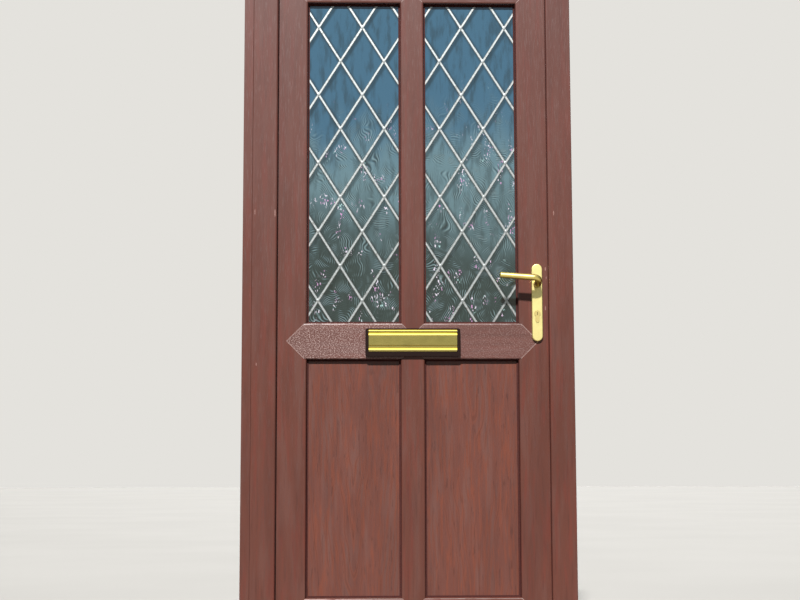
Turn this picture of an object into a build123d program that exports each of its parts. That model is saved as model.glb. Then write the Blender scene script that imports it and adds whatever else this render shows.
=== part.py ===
from build123d import *
from math import ceil, floor, sqrt
import os

# A panelled front door of welded PVC profiles, hung in its own outer frame.
# X runs to the right as seen from outside, Y into the house and Z up.
# Y = 0 is the outside face of the outer frame. The origin is under the middle of the sill.
# All sizes are in millimetres.

# Overall sizes
overall_width = 908.0
overall_height = 1974.0
extension_width = 25.0

# Sill
sill_height = 26.0
sill_nose = 40.0
sill_nose_height = 20.0
sill_wall = 3.0
drip_width = 5.0
drip_depth = 3.0

# Extruded profile of the outer frame
frame_face = 69.0
frame_depth = 70.0
frame_nib = 20.0
frame_nib_depth = 16.0
wall = 3.0
web = 1.5
hardware_chamber = 11.5
arris = 2.0
nib_arris = 5.5

# Extruded profile of the door leaf, which laps over the frame on the room side
sash_setback = 20.0
sash_depth = 70.0
stile_face = 82.0
sash_nib = 20.0
sash_nib_depth = 15.0
rebate_gap = 12.0
flange_width = 20.0
flange_depth = 16.0
front_chamber = 9.0
steel_chamber = 17.5

# Midrail and mullions, welded in with pointed ends
midrail_face = 100.0
midrail_height = 870.0
midrail_run = 5.0
mullion_face = 66.0

# Hardware groove round the edge of the leaf
groove_offset = 13.0
groove_width = 16.0
groove_step = 3.0
groove_throat = 12.0
groove_depth = 12.0

# Steel channels inside the profiles
steel_gauge = 1.5
steel_fit = 0.25
steel_end_gap = 20.0

# Sealed glass units and solid panels
pane = 4.0
unit_thickness = 24.0
edge_cover = 15.0
glazing_seal = 3.0
seal_lip = 4.5
seal_root = 6.0
spacer_height = 7.0
spacer_inset = 3.0
packer_length = 60.0
packer_inset = 50.0

# Glazing beads
bead_depth = 23.0
bead_chamfer = 8.0
bead_fit = 0.1

# Weather seals
seal_width = 7.0
running_gap = 0.3
seal_inset = 1.0

# Leaded lattice
lead_width = 7.5
lead_crown = 4.5
lead_thickness = 1.5
diamond_width = 122.2
diamond_height = 193.6
lead_first_column = 25.0
lead_first_row = 65.4
lead_end_gap = 0.2

# Lever handles on long backplates
backset = 38.0
spindle_height = 1026.0
plate_width = 30.0
plate_length = 214.0
plate_thickness = 10.0
plate_drop = 50.0
plate_wall = 3.0
plate_edge = 2.5
lever_neck_radius = 10.0
lever_tip_radius = 8.0
lever_reach = 50.0
lever_length = 108.0
lever_lift = 12.0
lever_rise = 8.0
lever_neck = 22.0
lever_turn = 12.0
lever_bend = 17.0
lever_tip_round = 5.0
lever_seat = 6.0
spindle_size = 8.0
spindle_socket = 22.0
spindle_play = 0.1
spindle_clearance = 2.3
turning_gap = 0.3
handle_screw_radius = 2.5
handle_screw_spacing = 182.0
handle_screw_head_radius = 4.5
handle_screw_head = 2.5
handle_boss_radius = 5.0
routing_radius = 11.0

# Profile cylinder
cylinder_drop = 81.0
cylinder_radius = 8.5
cylinder_stem = 10.0
cylinder_height = 33.0
cylinder_proud = 1.5
plug_radius = 5.5
plug_play = 0.05
cam_width = 10.0
cam_radius = 15.0
cam_nose = 7.0
keyway_width = 1.6
keyway_height = 8.0
keyway_depth = 25.0

# Multi-point lock
faceplate_thickness = 3.0
faceplate_end_gap = 75.0
case_wall = 1.5
case_thickness = 16.0
case_reach = 58.0
case_above_spindle = 30.0
case_below_cylinder = 40.0
follower_radius = 13.0
follower_thickness = 12.0
latch_drop = 40.0
latch_height = 28.0
latch_thickness = 11.0
latch_throw = 11.5
latch_tail = 20.0
latch_bevel = 8.0
deadbolt_height = 30.0
deadbolt_thickness = 9.0
deadbolt_throw = 18.0
deadbolt_length = 23.0
rod_thickness = 4.0
rod_width = 9.0
rod_travel = 22.0
stud_neck_radius = 3.0
stud_head_radius = 5.0
stud_head = 8.0
stud_offsets = (-700.0, -400.0, 320.0, 620.0)
rod_overrun = 40.0
window_play = 0.5

# Keeps on the frame
keep_base = 1.5
keep_width = 18.0
keep_height = 6.0
keep_length = 90.0
keep_lip = 3.0
keep_margin = 14.0

# Hinges on the room side
hinge_end = 208.0
hinge_length = 100.0
hinge_offset = 8.0
hinge_pin_radius = 4.0
hinge_knuckle_radius = 7.0
hinge_pin_play = 0.05
hinge_plate = 3.0
hinge_frame_plate_width = 33.0
hinge_frame_plate_gap = 3.0
hinge_leaf_plate_width = 42.0
hinge_leaf_plate_margin = 1.0
hinge_middle = 40.0
hinge_end_play = 0.5
hinge_screw_pitch = 34.0
hinge_screw_radius = 2.0
hinge_screw_head_radius = 4.0
hinge_screw_head = 1.5
hinge_screw_length = 16.0

# Fixing holes through the frame into the wall
fixing_radius = 4.0
fixing_first = 204.0
fixing_pitch = 500.0
fixing_count = 4

# Letterplate on the midrail
letterplate_length = 260.0
letterplate_height = 76.0
letterplate_drop = 4.0
letterplate_proud = 11.0
letterplate_corner = 6.0
letterplate_floor = 3.0
flap_length = 242.0
flap_height = 61.0
flap_top_margin = 3.0
flap_play = 0.5
flap_roll = 4.0
flap_shell = 3.0
flap_slope = 8.0
flap_field = 27.8
flap_band = 5.4
flap_band_setback = 1.2
flap_groove_depth = 2.4
flap_groove_half = 0.8
flap_pin_radius = 1.5
flap_pin_play = 0.05
flap_pin_seat = 5.0
slot_length = 226.0
slot_height = 40.0
sleeve_wall = 1.5
sleeve_fit = 0.25
inner_frame_proud = 9.0
inner_flap_thickness = 2.5
letterplate_screw_radius = 2.0
letterplate_screw_depth = 6.0

# Places worked out from the sizes above
frame_left = -overall_width / 2 + extension_width
frame_right = overall_width / 2
frame_body = frame_face - frame_nib
frame_box = (frame_left, frame_right, sill_height, overall_height)
nib_box = tuple(e + s * frame_face for e, s in zip(frame_box, (1, -1, 1, -1)))
leaf_centre = (nib_box[0] + nib_box[1]) / 2
sash_outside = sash_setback
sash_inside = sash_setback + sash_depth
nib_back = sash_outside + sash_nib_depth
flange_face = sash_inside - flange_depth
lap = frame_nib - rebate_gap
sash_width = flange_width + lap + stile_face
flange_box = tuple(e - s * (lap + flange_width) for e, s in zip(nib_box, (1, -1, 1, -1)))
edge_box = tuple(e - s * lap for e, s in zip(nib_box, (1, -1, 1, -1)))
light_box = tuple(e + s * stile_face for e, s in zip(nib_box, (1, -1, 1, -1)))
midrail_top = midrail_height + midrail_face / 2
midrail_foot = midrail_height - midrail_face / 2
mullion_left = leaf_centre - mullion_face / 2
mullion_right = leaf_centre + mullion_face / 2
lights = {
    "glass_left": (light_box[0], mullion_left, midrail_top, light_box[3]),
    "glass_right": (mullion_right, light_box[1], midrail_top, light_box[3]),
    "panel_left": (light_box[0], mullion_left, light_box[2], midrail_foot),
    "panel_right": (mullion_right, light_box[1], light_box[2], midrail_foot),
}
unit_front = nib_back + glazing_seal
unit_back = unit_front + unit_thickness
lock_edge = edge_box[1]
groove_y = flange_face - groove_offset
spindle_x = lock_edge - backset
cylinder_z = spindle_height - cylinder_drop
latch_z = spindle_height - latch_drop
plate_z = spindle_height - plate_drop
plate_mid_y = (sash_outside + sash_inside) / 2
keep_face = frame_right - frame_body
hinge_x = flange_box[0] - hinge_offset
hinge_y = sash_inside + hinge_offset
hinge_low = flange_box[2] + hinge_end
hinge_high = flange_box[3] - hinge_end
hinge_heights = (hinge_low, (hinge_low + hinge_high) / 2, hinge_high)
case_top = spindle_height + case_above_spindle
case_foot = cylinder_z - case_below_cylinder
case_x = (lock_edge - faceplate_thickness - case_reach, lock_edge - faceplate_thickness)
case_y = (groove_y - case_thickness / 2, groove_y + case_thickness / 2)
fixing_heights = [sill_height + fixing_first + fixing_pitch * i for i in range(fixing_count)]
handle_screw_heights = (plate_z - handle_screw_spacing / 2, plate_z + handle_screw_spacing / 2)
stud_heights = [spindle_height + offset for offset in stud_offsets]
letterplate_z = midrail_height - letterplate_drop
letterplate_top = letterplate_z + letterplate_height / 2
flap_top = letterplate_top - flap_top_margin
reach = 2 * overall_height

os.makedirs("parts", exist_ok=True)


def write(piece, label):
    """Name a finished piece and write it out."""
    piece.part.label = label
    export_step(piece.part, f"parts/{label}.step")


def span(low, high):
    """Centre and length of a stretch."""
    return (low + high) / 2, high - low


def block(x, y, z, mode=Mode.ADD):
    """A rectangular block given by its two limits along each axis."""
    (cx, dx), (cy, dy), (cz, dz) = span(*x), span(*y), span(*z)
    with Locations((cx, cy, cz)):
        Box(dx, dy, dz, mode=mode)


def field(u, v, mode=Mode.ADD):
    """A rectangle of a sketch given by its two limits along each axis."""
    (cu, du), (cv, dv) = span(*u), span(*v)
    with Locations((cu, cv)):
        Rectangle(du, dv, mode=mode)


def grow(box, amount):
    """A rectangle's limits moved outwards on all four sides."""
    return tuple(e - s * amount for e, s in zip(box, (1, -1, 1, -1)))


def side_plane(box, side):
    """Plane across one side of a ring: local X points into the ring, local Y into the house."""
    left, right, foot, head = box
    corner, inward = {
        "left": ((left, 0, foot), Vector(1, 0, 0)),
        "right": ((right, 0, head), Vector(-1, 0, 0)),
        "head": ((left, 0, head), Vector(0, 0, -1)),
        "foot": ((right, 0, foot), Vector(0, 0, 1)),
    }[side]
    return Plane(origin=corner, x_dir=inward, z_dir=inward.cross(Vector(0, 1, 0)))


def side_length(box, side):
    """Length of one side of a ring along its outer edge."""
    left, right, foot, head = box
    return head - foot if side in ("left", "right") else right - left


def mitre_outline(box, side, width):
    """Corners of one mitred side seen from outside."""
    x0, x1, z0, z1 = box
    a, b, c, d = grow(box, -width)
    return {
        "left": [(x0, z0), (x0, z1), (a, d), (a, c)],
        "right": [(x1, z0), (x1, z1), (b, d), (b, c)],
        "head": [(x0, z1), (x1, z1), (b, d), (a, d)],
        "foot": [(x0, z0), (x1, z0), (b, c), (a, c)],
    }[side]


def bar(section, plane, length, outline, fit=0.0):
    """A length of profile trimmed to an outline seen from outside, less a fitting gap all round."""
    with BuildPart() as member:
        with BuildSketch(plane):
            add(section)
        extrude(amount=length)
        with BuildSketch(Plane.XZ):
            Polygon(*outline, align=None)
            offset(amount=-fit)
        extrude(amount=reach, both=True, mode=Mode.INTERSECT)
    return member


def ring(box, width, y, mode=Mode.ADD):
    """A rectangular ring: its outer limits, its width inwards and its limits in depth."""
    with BuildSketch(Plane.XZ.offset(-y[1])) as band:
        field(box[:2], box[2:])
        inner = grow(box, -width)
        field(inner[:2], inner[2:], mode=Mode.SUBTRACT)
    extrude(band.sketch, amount=y[1] - y[0], mode=mode)


def cut_joint(outline, y):
    """Room for a member that is welded into this one, between two depths."""
    with BuildSketch(Plane.XZ.offset(-y[1])) as joint:
        Polygon(*outline, align=None)
    extrude(joint.sketch, amount=y[1] - y[0], mode=Mode.SUBTRACT)


def cut_holes(points, radius, direction, depth):
    """Straight round holes from each point, both ways along a direction."""
    for point in points:
        with BuildSketch(Plane(origin=point, z_dir=direction)) as hole:
            Circle(radius)
        extrude(hole.sketch, amount=depth, both=True, mode=Mode.SUBTRACT)


# Sections of the profiles, drawn across their length

with BuildSketch() as frame_section:
    with BuildLine():
        Polyline(
            (0, 0),
            (frame_face, 0),
            (frame_face, frame_nib_depth),
            (frame_body, frame_nib_depth),
            (frame_body, frame_depth),
            (0, frame_depth),
            close=True,
        )
    make_face()
    fillet(frame_section.vertices().group_by(Axis.Y)[0].sort_by(Axis.X)[-1], nib_arris)
    fillet(frame_section.vertices().group_by(Axis.Y)[0].sort_by(Axis.X)[0], arris)
    fillet(frame_section.vertices().group_by(Axis.Y)[-1], arris)
    steel_limit = frame_body - wall - hardware_chamber - web
    steel_y = (frame_nib_depth - wall + web, frame_depth - 2 * wall - hardware_chamber)
    field((wall, frame_face - wall), (wall, frame_nib_depth - wall), mode=Mode.SUBTRACT)
    field((wall, steel_limit), steel_y, mode=Mode.SUBTRACT)
    field((steel_limit + web, frame_body - wall), steel_y, mode=Mode.SUBTRACT)
    field((wall, frame_body - wall), (steel_y[1] + web, frame_depth - wall), mode=Mode.SUBTRACT)

sash_body = sash_width - sash_nib
sash_steel_y = (sash_outside + wall + front_chamber + web,
                sash_outside + wall + front_chamber + web + steel_chamber)
hardware_y = (sash_steel_y[1] + web, flange_face - wall + web)

with BuildSketch() as sash_section:
    with BuildLine():
        Polyline(
            (flange_width, sash_outside),
            (sash_width, sash_outside),
            (sash_width, nib_back),
            (sash_body, nib_back),
            (sash_body, sash_inside),
            (0, sash_inside),
            (0, flange_face),
            (flange_width, flange_face),
            close=True,
        )
    make_face()
    fillet(sash_section.vertices().group_by(Axis.Y)[0].sort_by(Axis.X)[-1], nib_arris)
    fillet(sash_section.vertices().group_by(Axis.Y)[0].sort_by(Axis.X)[0], arris)
    fillet(sash_section.vertices().group_by(Axis.Y)[-1].sort_by(Axis.X)[0], arris)
    front_y = (sash_outside + wall, sash_outside + wall + front_chamber)
    field((flange_width + wall, sash_width - wall), front_y, mode=Mode.SUBTRACT)
    field((flange_width + wall, sash_body - wall), sash_steel_y, mode=Mode.SUBTRACT)
    field((flange_width + groove_depth + wall, sash_body - wall), hardware_y, mode=Mode.SUBTRACT)
    field((wall, sash_body - wall), (hardware_y[1] + web, sash_inside - wall), mode=Mode.SUBTRACT)
    for width, depth in ((groove_width, groove_step), (groove_throat, groove_depth)):
        field((flange_width, flange_width + depth),
              (groove_y - width / 2, groove_y + width / 2), mode=Mode.SUBTRACT)


def cross_section(face):
    """Section of a rail or mullion with a nib on both sides, centred on its own axis."""
    nib, body = face / 2, face / 2 - sash_nib
    with BuildSketch() as section:
        with BuildLine():
            Polyline(
                (-nib, sash_outside),
                (nib, sash_outside),
                (nib, nib_back),
                (body, nib_back),
                (body, sash_inside),
                (-body, sash_inside),
                (-body, nib_back),
                (-nib, nib_back),
                close=True,
            )
        make_face()
        fillet(section.vertices().group_by(Axis.Y)[0], nib_arris)
        field((-nib + wall, nib - wall), front_y, mode=Mode.SUBTRACT)
        field((-body + wall, body - wall), (front_y[1] + web, flange_face - wall), mode=Mode.SUBTRACT)
        field((-body + wall, body - wall), (flange_face, sash_inside - wall), mode=Mode.SUBTRACT)
    return section.sketch


def channel(u, v):
    """Section of a folded steel channel that fits a chamber, open on the side of the light."""
    with BuildSketch() as section:
        field((u[0] + steel_fit, u[1] - steel_fit), (v[0] + steel_fit, v[1] - steel_fit))
        field((u[0] + steel_fit + steel_gauge, u[1]),
              (v[0] + steel_fit + steel_gauge, v[1] - steel_fit - steel_gauge), mode=Mode.SUBTRACT)
    return section.sketch


# Outer frame: four mitred lengths of one profile

jamb_fixings = {
    "left": [(frame_left, (steel_y[0] + steel_y[1]) / 2, z) for z in fixing_heights],
    "right": [(frame_right, (steel_y[0] + steel_y[1]) / 2, z) for z in fixing_heights],
}
deadbolt_window = (
    (groove_y - deadbolt_thickness / 2 - window_play, groove_y + deadbolt_thickness / 2 + window_play),
    (cylinder_z - deadbolt_height / 2 - window_play, cylinder_z + deadbolt_height / 2 + window_play),
)
frame_names = {"left": "frame_hinge_jamb", "right": "frame_lock_jamb",
               "head": "frame_head", "foot": "frame_threshold"}
for side, label in frame_names.items():
    member = bar(
        frame_section.sketch,
        side_plane(frame_box, side),
        side_length(frame_box, side),
        mitre_outline(frame_box, side, frame_face),
    )
    with member:
        cut_holes(jamb_fixings.get(side, []), fixing_radius, (1, 0, 0), frame_face)
        if side == "right":
            block((keep_face, lock_edge + deadbolt_throw), *deadbolt_window, mode=Mode.SUBTRACT)
    write(member, label)

with BuildPart() as frame_steels:
    for side in frame_names:
        plane = side_plane(frame_box, side).offset(frame_face + steel_end_gap)
        with BuildSketch(plane):
            add(channel((wall, steel_limit), steel_y))
        extrude(amount=side_length(frame_box, side) - 2 * (frame_face + steel_end_gap))
    for points in jamb_fixings.values():
        cut_holes(points, fixing_radius, (1, 0, 0), frame_face)
write(frame_steels, "frame_steels")

with BuildPart() as frame_extension:
    with BuildSketch(Plane.XY.offset(sill_height)):
        field((-overall_width / 2, frame_left), (0, frame_depth))
        field((-overall_width / 2 + wall, frame_left - wall), (wall, frame_depth - wall),
              mode=Mode.SUBTRACT)
    extrude(amount=overall_height - sill_height)
    cut_holes(jamb_fixings["left"], fixing_radius, (1, 0, 0), frame_face)
write(frame_extension, "frame_extension")


# Sill: a hollow nosing that the frame stands on, with a drip groove under its front edge

with BuildPart() as sill:
    with BuildSketch(Plane.YZ.offset(-overall_width / 2)):
        with BuildLine():
            Polyline(
                (-sill_nose, 0),
                (frame_depth, 0),
                (frame_depth, sill_height),
                (0, sill_height),
                (-sill_nose, sill_nose_height),
                close=True,
            )
        make_face()
        field((-sill_nose + wall + drip_width, -sill_nose + wall + 2 * drip_width), (0, drip_depth),
              mode=Mode.SUBTRACT)
        field((0, frame_depth - sill_wall), (sill_wall, sill_height - sill_wall), mode=Mode.SUBTRACT)
    extrude(amount=overall_width)
    fillet(sill.edges().filter_by(Axis.X).group_by(Axis.Y)[0], arris)
write(sill, "sill")

with BuildPart() as frame_gasket:
    ring(grow(nib_box, seal_inset + seal_width), seal_width, (frame_nib_depth, sash_outside - running_gap))
write(frame_gasket, "frame_gasket")


# Door leaf: four mitred lengths of one profile, cut to take the pointed midrail and mullions.
# The midrail runs a little way into the stiles before its ends are pointed.

midrail_tips = (light_box[0] - midrail_run - midrail_face / 2, light_box[1] + midrail_run + midrail_face / 2)
midrail_outline = [
    (midrail_tips[0], midrail_height),
    (light_box[0] - midrail_run, midrail_top),
    (mullion_left, midrail_top),
    (leaf_centre, midrail_top - mullion_face / 2),
    (mullion_right, midrail_top),
    (light_box[1] + midrail_run, midrail_top),
    (midrail_tips[1], midrail_height),
    (light_box[1] + midrail_run, midrail_foot),
    (mullion_right, midrail_foot),
    (leaf_centre, midrail_foot + mullion_face / 2),
    (mullion_left, midrail_foot),
    (light_box[0] - midrail_run, midrail_foot),
]
midrail_body = midrail_face / 2 - sash_nib
midrail_body_outline = [
    (midrail_tips[0], midrail_height),
    (midrail_tips[0] + midrail_body, midrail_height + midrail_body),
    (midrail_tips[1] - midrail_body, midrail_height + midrail_body),
    (midrail_tips[1], midrail_height),
    (midrail_tips[1] - midrail_body, midrail_height - midrail_body),
    (midrail_tips[0] + midrail_body, midrail_height - midrail_body),
]
mullion_outlines = {
    label: [
        (mullion_left, foot),
        (leaf_centre, foot - mullion_face / 2),
        (mullion_right, foot),
        (mullion_right, head),
        (leaf_centre, head + mullion_face / 2),
        (mullion_left, head),
    ]
    for label, (foot, head) in {
        "upper_mullion": (midrail_top, light_box[3]),
        "lower_mullion": (light_box[2], midrail_foot),
    }.items()
}
midrail_joint = [(midrail_outline, (sash_outside, nib_back)), (midrail_body_outline, (nib_back, sash_inside))]
mullion_joint = [(outline, (sash_outside, sash_inside)) for outline in mullion_outlines.values()]

spindle_axis = (spindle_x, plate_mid_y, spindle_height)
handle_screw_points = [(spindle_x, plate_mid_y, z) for z in handle_screw_heights]


def cylinder_outline(clearance=0.0):
    """Outline of the profile cylinder seen along its axis: a round plug housing over a narrow stem."""
    stem = cylinder_stem / 2 + clearance
    foot = cylinder_radius + cylinder_stem / 2 - cylinder_height
    with BuildSketch() as outline:
        Circle(cylinder_radius + clearance)
        field((-stem, stem), (foot, 0))
        with Locations((0, foot)):
            Circle(stem)
    return outline.sketch


def cut_cylinder(clearance, y):
    """A passage for the profile cylinder between two depths."""
    with BuildSketch(Plane.XZ.offset(-y[1])) as passage:
        with Locations((spindle_x, cylinder_z)):
            add(cylinder_outline(clearance))
    extrude(passage.sketch, amount=y[1] - y[0], mode=Mode.SUBTRACT)


def cut_for_furniture():
    """Routing for the spindle, the cylinder and the handle screws."""
    cut_holes([spindle_axis], routing_radius, (0, 1, 0), sash_depth)
    cut_cylinder(window_play, (sash_outside, sash_inside))
    cut_holes(handle_screw_points, handle_screw_radius + running_gap, (0, 1, 0), sash_depth)


leaf_names = {
    "left": ("hinge_stile", midrail_joint),
    "right": ("lock_stile", midrail_joint),
    "head": ("top_rail", mullion_joint),
    "foot": ("bottom_rail", mullion_joint),
}
for side, (label, joints) in leaf_names.items():
    member = bar(
        sash_section.sketch,
        side_plane(flange_box, side),
        side_length(flange_box, side),
        mitre_outline(flange_box, side, sash_width),
    )
    with member:
        for outline, y in joints:
            cut_joint(outline, y)
        if side == "right":
            cut_for_furniture()
            block((case_x[0] - steel_fit, case_x[1]),
                  (case_y[0] - steel_fit, case_y[1] + steel_fit),
                  (case_foot - steel_fit, case_top + steel_fit), mode=Mode.SUBTRACT)
    write(member, label)

with BuildPart() as leaf_steels:
    for side in leaf_names:
        plane = side_plane(flange_box, side).offset(sash_width + steel_end_gap)
        with BuildSketch(plane):
            add(channel((flange_width + wall, sash_body - wall), sash_steel_y))
        extrude(amount=side_length(flange_box, side) - 2 * (sash_width + steel_end_gap))
    for outline in (midrail_outline, *mullion_outlines.values()):
        cut_joint(outline, (sash_outside, sash_inside))
    cut_for_furniture()
write(leaf_steels, "leaf_steels")

# Letterplate passage through the midrail and the tips of the mullions

sleeve_x = (leaf_centre - slot_length / 2 - sleeve_wall, leaf_centre + slot_length / 2 + sleeve_wall)
sleeve_z = (letterplate_z - slot_height / 2 - sleeve_wall, letterplate_z + slot_height / 2 + sleeve_wall)
letterplate_screw_x = (flap_length / 2 + letterplate_length / 2) / 2
letterplate_screw_points = [(leaf_centre + s * letterplate_screw_x, plate_mid_y, letterplate_z)
                            for s in (-1, 1)]


def cut_for_letterplate():
    """Routing for the letterplate sleeve and its screws."""
    block((sleeve_x[0] - sleeve_fit, sleeve_x[1] + sleeve_fit), (sash_outside, sash_inside),
          (sleeve_z[0] - sleeve_fit, sleeve_z[1] + sleeve_fit), mode=Mode.SUBTRACT)
    cut_holes(letterplate_screw_points, letterplate_screw_radius + running_gap, (0, 1, 0), sash_depth)


midrail = bar(
    cross_section(midrail_face),
    Plane(origin=(flange_box[0], 0, midrail_height), x_dir=(0, 0, -1), z_dir=(1, 0, 0)),
    flange_box[1] - flange_box[0],
    midrail_outline,
)
with midrail:
    cut_for_letterplate()
write(midrail, "midrail")

for label, outline in mullion_outlines.items():
    mullion = bar(
        cross_section(mullion_face),
        Plane(origin=(leaf_centre, 0, flange_box[2]), x_dir=(1, 0, 0), z_dir=(0, 0, 1)),
        flange_box[3] - flange_box[2],
        outline,
    )
    with mullion:
        cut_for_letterplate()
    write(mullion, label)

with BuildPart() as leaf_gasket:
    ring(grow(flange_box, -seal_inset), seal_width, (frame_depth + running_gap, flange_face))
write(leaf_gasket, "leaf_gasket")


# Glazing: sealed units above the midrail, solid panels below, seals, packers and beads

with BuildPart() as glazing_gaskets:
    for light in lights.values():
        for y in ((nib_back, unit_front), (unit_back, unit_back + glazing_seal)):
            ring(grow(light, seal_root), seal_root + seal_lip, y)
write(glazing_gaskets, "glazing_gaskets")

with BuildPart() as glazing_packers:
    for light in lights.values():
        left, right, foot, head = grow(light, edge_cover)
        for x in (left + packer_inset, right - packer_inset - packer_length):
            for z in ((foot - sash_nib + edge_cover, foot), (head, head + sash_nib - edge_cover)):
                block((x, x + packer_length), (unit_front, unit_back), z)
write(glazing_packers, "glazing_packers")

with BuildSketch() as bead_section:
    with BuildLine():
        Polyline(
            (0, unit_back + glazing_seal),
            (sash_nib, unit_back + glazing_seal),
            (sash_nib, unit_back + glazing_seal + bead_depth - bead_chamfer),
            (sash_nib - bead_chamfer, unit_back + glazing_seal + bead_depth),
            (0, unit_back + glazing_seal + bead_depth),
            close=True,
        )
    make_face()

for label, names in {"glass_beads": ("glass_left", "glass_right"),
                     "panel_beads": ("panel_left", "panel_right")}.items():
    with BuildPart() as beads:
        for name in names:
            bead_box = grow(lights[name], sash_nib)
            for side in frame_names:
                bead = bar(
                    bead_section.sketch,
                    side_plane(bead_box, side),
                    side_length(bead_box, side),
                    mitre_outline(bead_box, side, sash_nib),
                    bead_fit,
                )
                add(bead.part)
    write(beads, label)


def sheet(light, y):
    """A flat sheet that fills a light behind its nibs."""
    left, right, foot, head = grow(light, edge_cover)
    with BuildPart() as flat:
        with BuildSketch(Plane.XZ.offset(-y[1])):
            field((left, right), (foot, head))
        extrude(amount=y[1] - y[0])
    return flat


def lead_lattice(light, y, outward):
    """Crossing strips of lead with sloping sides, bonded to one face of a sealed unit."""
    left, right, foot, head = grow(light, -seal_lip - lead_end_gap)
    mirrored = light[0] > leaf_centre
    first_x = light[0] + seal_lip + lead_first_column
    if mirrored:
        first_x = light[1] - seal_lip - lead_first_column
    first_z = light[3] - lead_first_row
    lean = diamond_width / diamond_height
    normal = Vector(0, outward, 0)
    with BuildPart() as lattice:
        for slope in (-lean, lean):
            low_x = first_x + slope * (foot - lead_width - first_z)
            high_x = first_x + slope * (head + lead_width - first_z)
            first = floor((left - max(low_x, high_x)) / diamond_width)
            last = ceil((right - min(low_x, high_x)) / diamond_width)
            for step in range(first, last + 1):
                start = Vector(low_x + step * diamond_width, y, foot - lead_width)
                end = Vector(high_x + step * diamond_width, y, head + lead_width)
                along = (end - start).normalized()
                with BuildSketch(Plane(origin=start, x_dir=normal.cross(along), z_dir=along)):
                    Polygon(
                        (-lead_width / 2, 0),
                        (lead_width / 2, 0),
                        (lead_crown / 2, lead_thickness),
                        (-lead_crown / 2, lead_thickness),
                        align=None,
                    )
                extrude(amount=(end - start).length)
        block((left, right), (y - lead_thickness, y + lead_thickness), (foot, head), mode=Mode.INTERSECT)
    return lattice


for side in ("left", "right"):
    light = lights[f"glass_{side}"]
    write(sheet(light, (unit_front, unit_front + pane)), f"outer_pane_{side}")
    write(sheet(light, (unit_back - pane, unit_back)), f"inner_pane_{side}")
    write(sheet(lights[f"panel_{side}"], (unit_front, unit_back)), f"panel_{side}")
    with BuildPart() as spacer:
        ring(grow(light, edge_cover - spacer_inset), spacer_height, (unit_front + pane, unit_back - pane))
    write(spacer, f"spacer_{side}")

for label, y, outward in (("lead_outside", unit_front, -1), ("lead_inside", unit_back, 1)):
    with BuildPart() as lead:
        for side in ("left", "right"):
            add(lead_lattice(lights[f"glass_{side}"], y, outward).part)
    write(lead, label)


# Multi-point lock in the groove of the lock stile

face_back = lock_edge - faceplate_thickness
face_z = (edge_box[2] + faceplate_end_gap, edge_box[3] - faceplate_end_gap)


def across(width, clearance=0.0):
    """Depth limits of something centred on the hardware groove."""
    return groove_y - width / 2 - clearance, groove_y + width / 2 + clearance


latch_limits = (latch_z - latch_height / 2, latch_z + latch_height / 2)
deadbolt_limits = (cylinder_z - deadbolt_height / 2, cylinder_z + deadbolt_height / 2)

with BuildPart() as lock_faceplate:
    block((face_back, lock_edge), across(groove_width, -steel_fit), face_z)
    for limits, width in ((latch_limits, latch_thickness), (deadbolt_limits, deadbolt_thickness)):
        block((face_back, lock_edge), across(width, running_gap),
              (limits[0] - running_gap, limits[1] + running_gap), mode=Mode.SUBTRACT)
    for z in stud_heights:
        with BuildSketch(Plane.YZ.offset(face_back)):
            with Locations((groove_y, z + rod_travel / 2)):
                SlotCenterToCenter(rod_travel, 2 * (stud_neck_radius + window_play), rotation=90)
        extrude(amount=faceplate_thickness, mode=Mode.SUBTRACT)
write(lock_faceplate, "lock_faceplate")

with BuildPart() as lock_case:
    block(case_x, case_y, (case_foot, case_top))
    block((case_x[0] + case_wall, case_x[1]), (case_y[0] + case_wall, case_y[1] - case_wall),
          (case_foot + case_wall, case_top - case_wall), mode=Mode.SUBTRACT)
    cut_holes([spindle_axis], spindle_size / sqrt(2) + spindle_clearance, (0, 1, 0), sash_depth)
    cut_cylinder(running_gap, case_y)
write(lock_case, "lock_case")

with BuildPart() as latch_bolt:
    tip = lock_edge + latch_throw
    block((face_back - latch_tail, tip), across(latch_thickness), latch_limits)
    corner = latch_bolt.edges().filter_by(Axis.Z).sort_by(Axis.X)[-2:].sort_by(Axis.Y)[0]
    chamfer(corner, latch_bevel)
write(latch_bolt, "latch_bolt")

with BuildPart() as deadbolt:
    front = lock_edge - window_play
    block((front - deadbolt_length, front), across(deadbolt_thickness), deadbolt_limits)
write(deadbolt, "deadbolt")

rod_x = (face_back - running_gap - rod_thickness, face_back - running_gap)
with BuildPart() as drive_rods:
    block(rod_x, across(rod_width), (stud_heights[0] - rod_overrun, case_foot - rod_travel - running_gap))
    block(rod_x, across(rod_width), (case_top + running_gap, stud_heights[-1] + rod_overrun))
    for z in stud_heights:
        with BuildSketch(Plane(origin=(rod_x[1], groove_y, z), z_dir=(1, 0, 0))):
            Circle(stud_neck_radius)
        extrude(amount=faceplate_thickness + 2 * running_gap)
        with BuildSketch(Plane(origin=(lock_edge + running_gap, groove_y, z), z_dir=(1, 0, 0))):
            Circle(stud_head_radius)
        extrude(amount=stud_head)
write(drive_rods, "drive_rods")

with BuildPart() as stud_keeps:
    for z in stud_heights:
        lip_y = groove_y + stud_head_radius + running_gap
        z_mid = z + rod_travel / 2
        block((keep_face - keep_base, keep_face), across(keep_width),
              (z_mid - keep_length / 2, z_mid + keep_length / 2))
        block((keep_face - keep_height, keep_face - keep_base), (lip_y, lip_y + keep_lip),
              (z + 2 * stud_head_radius, z + rod_travel + keep_margin))
write(stud_keeps, "stud_keeps")

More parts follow.
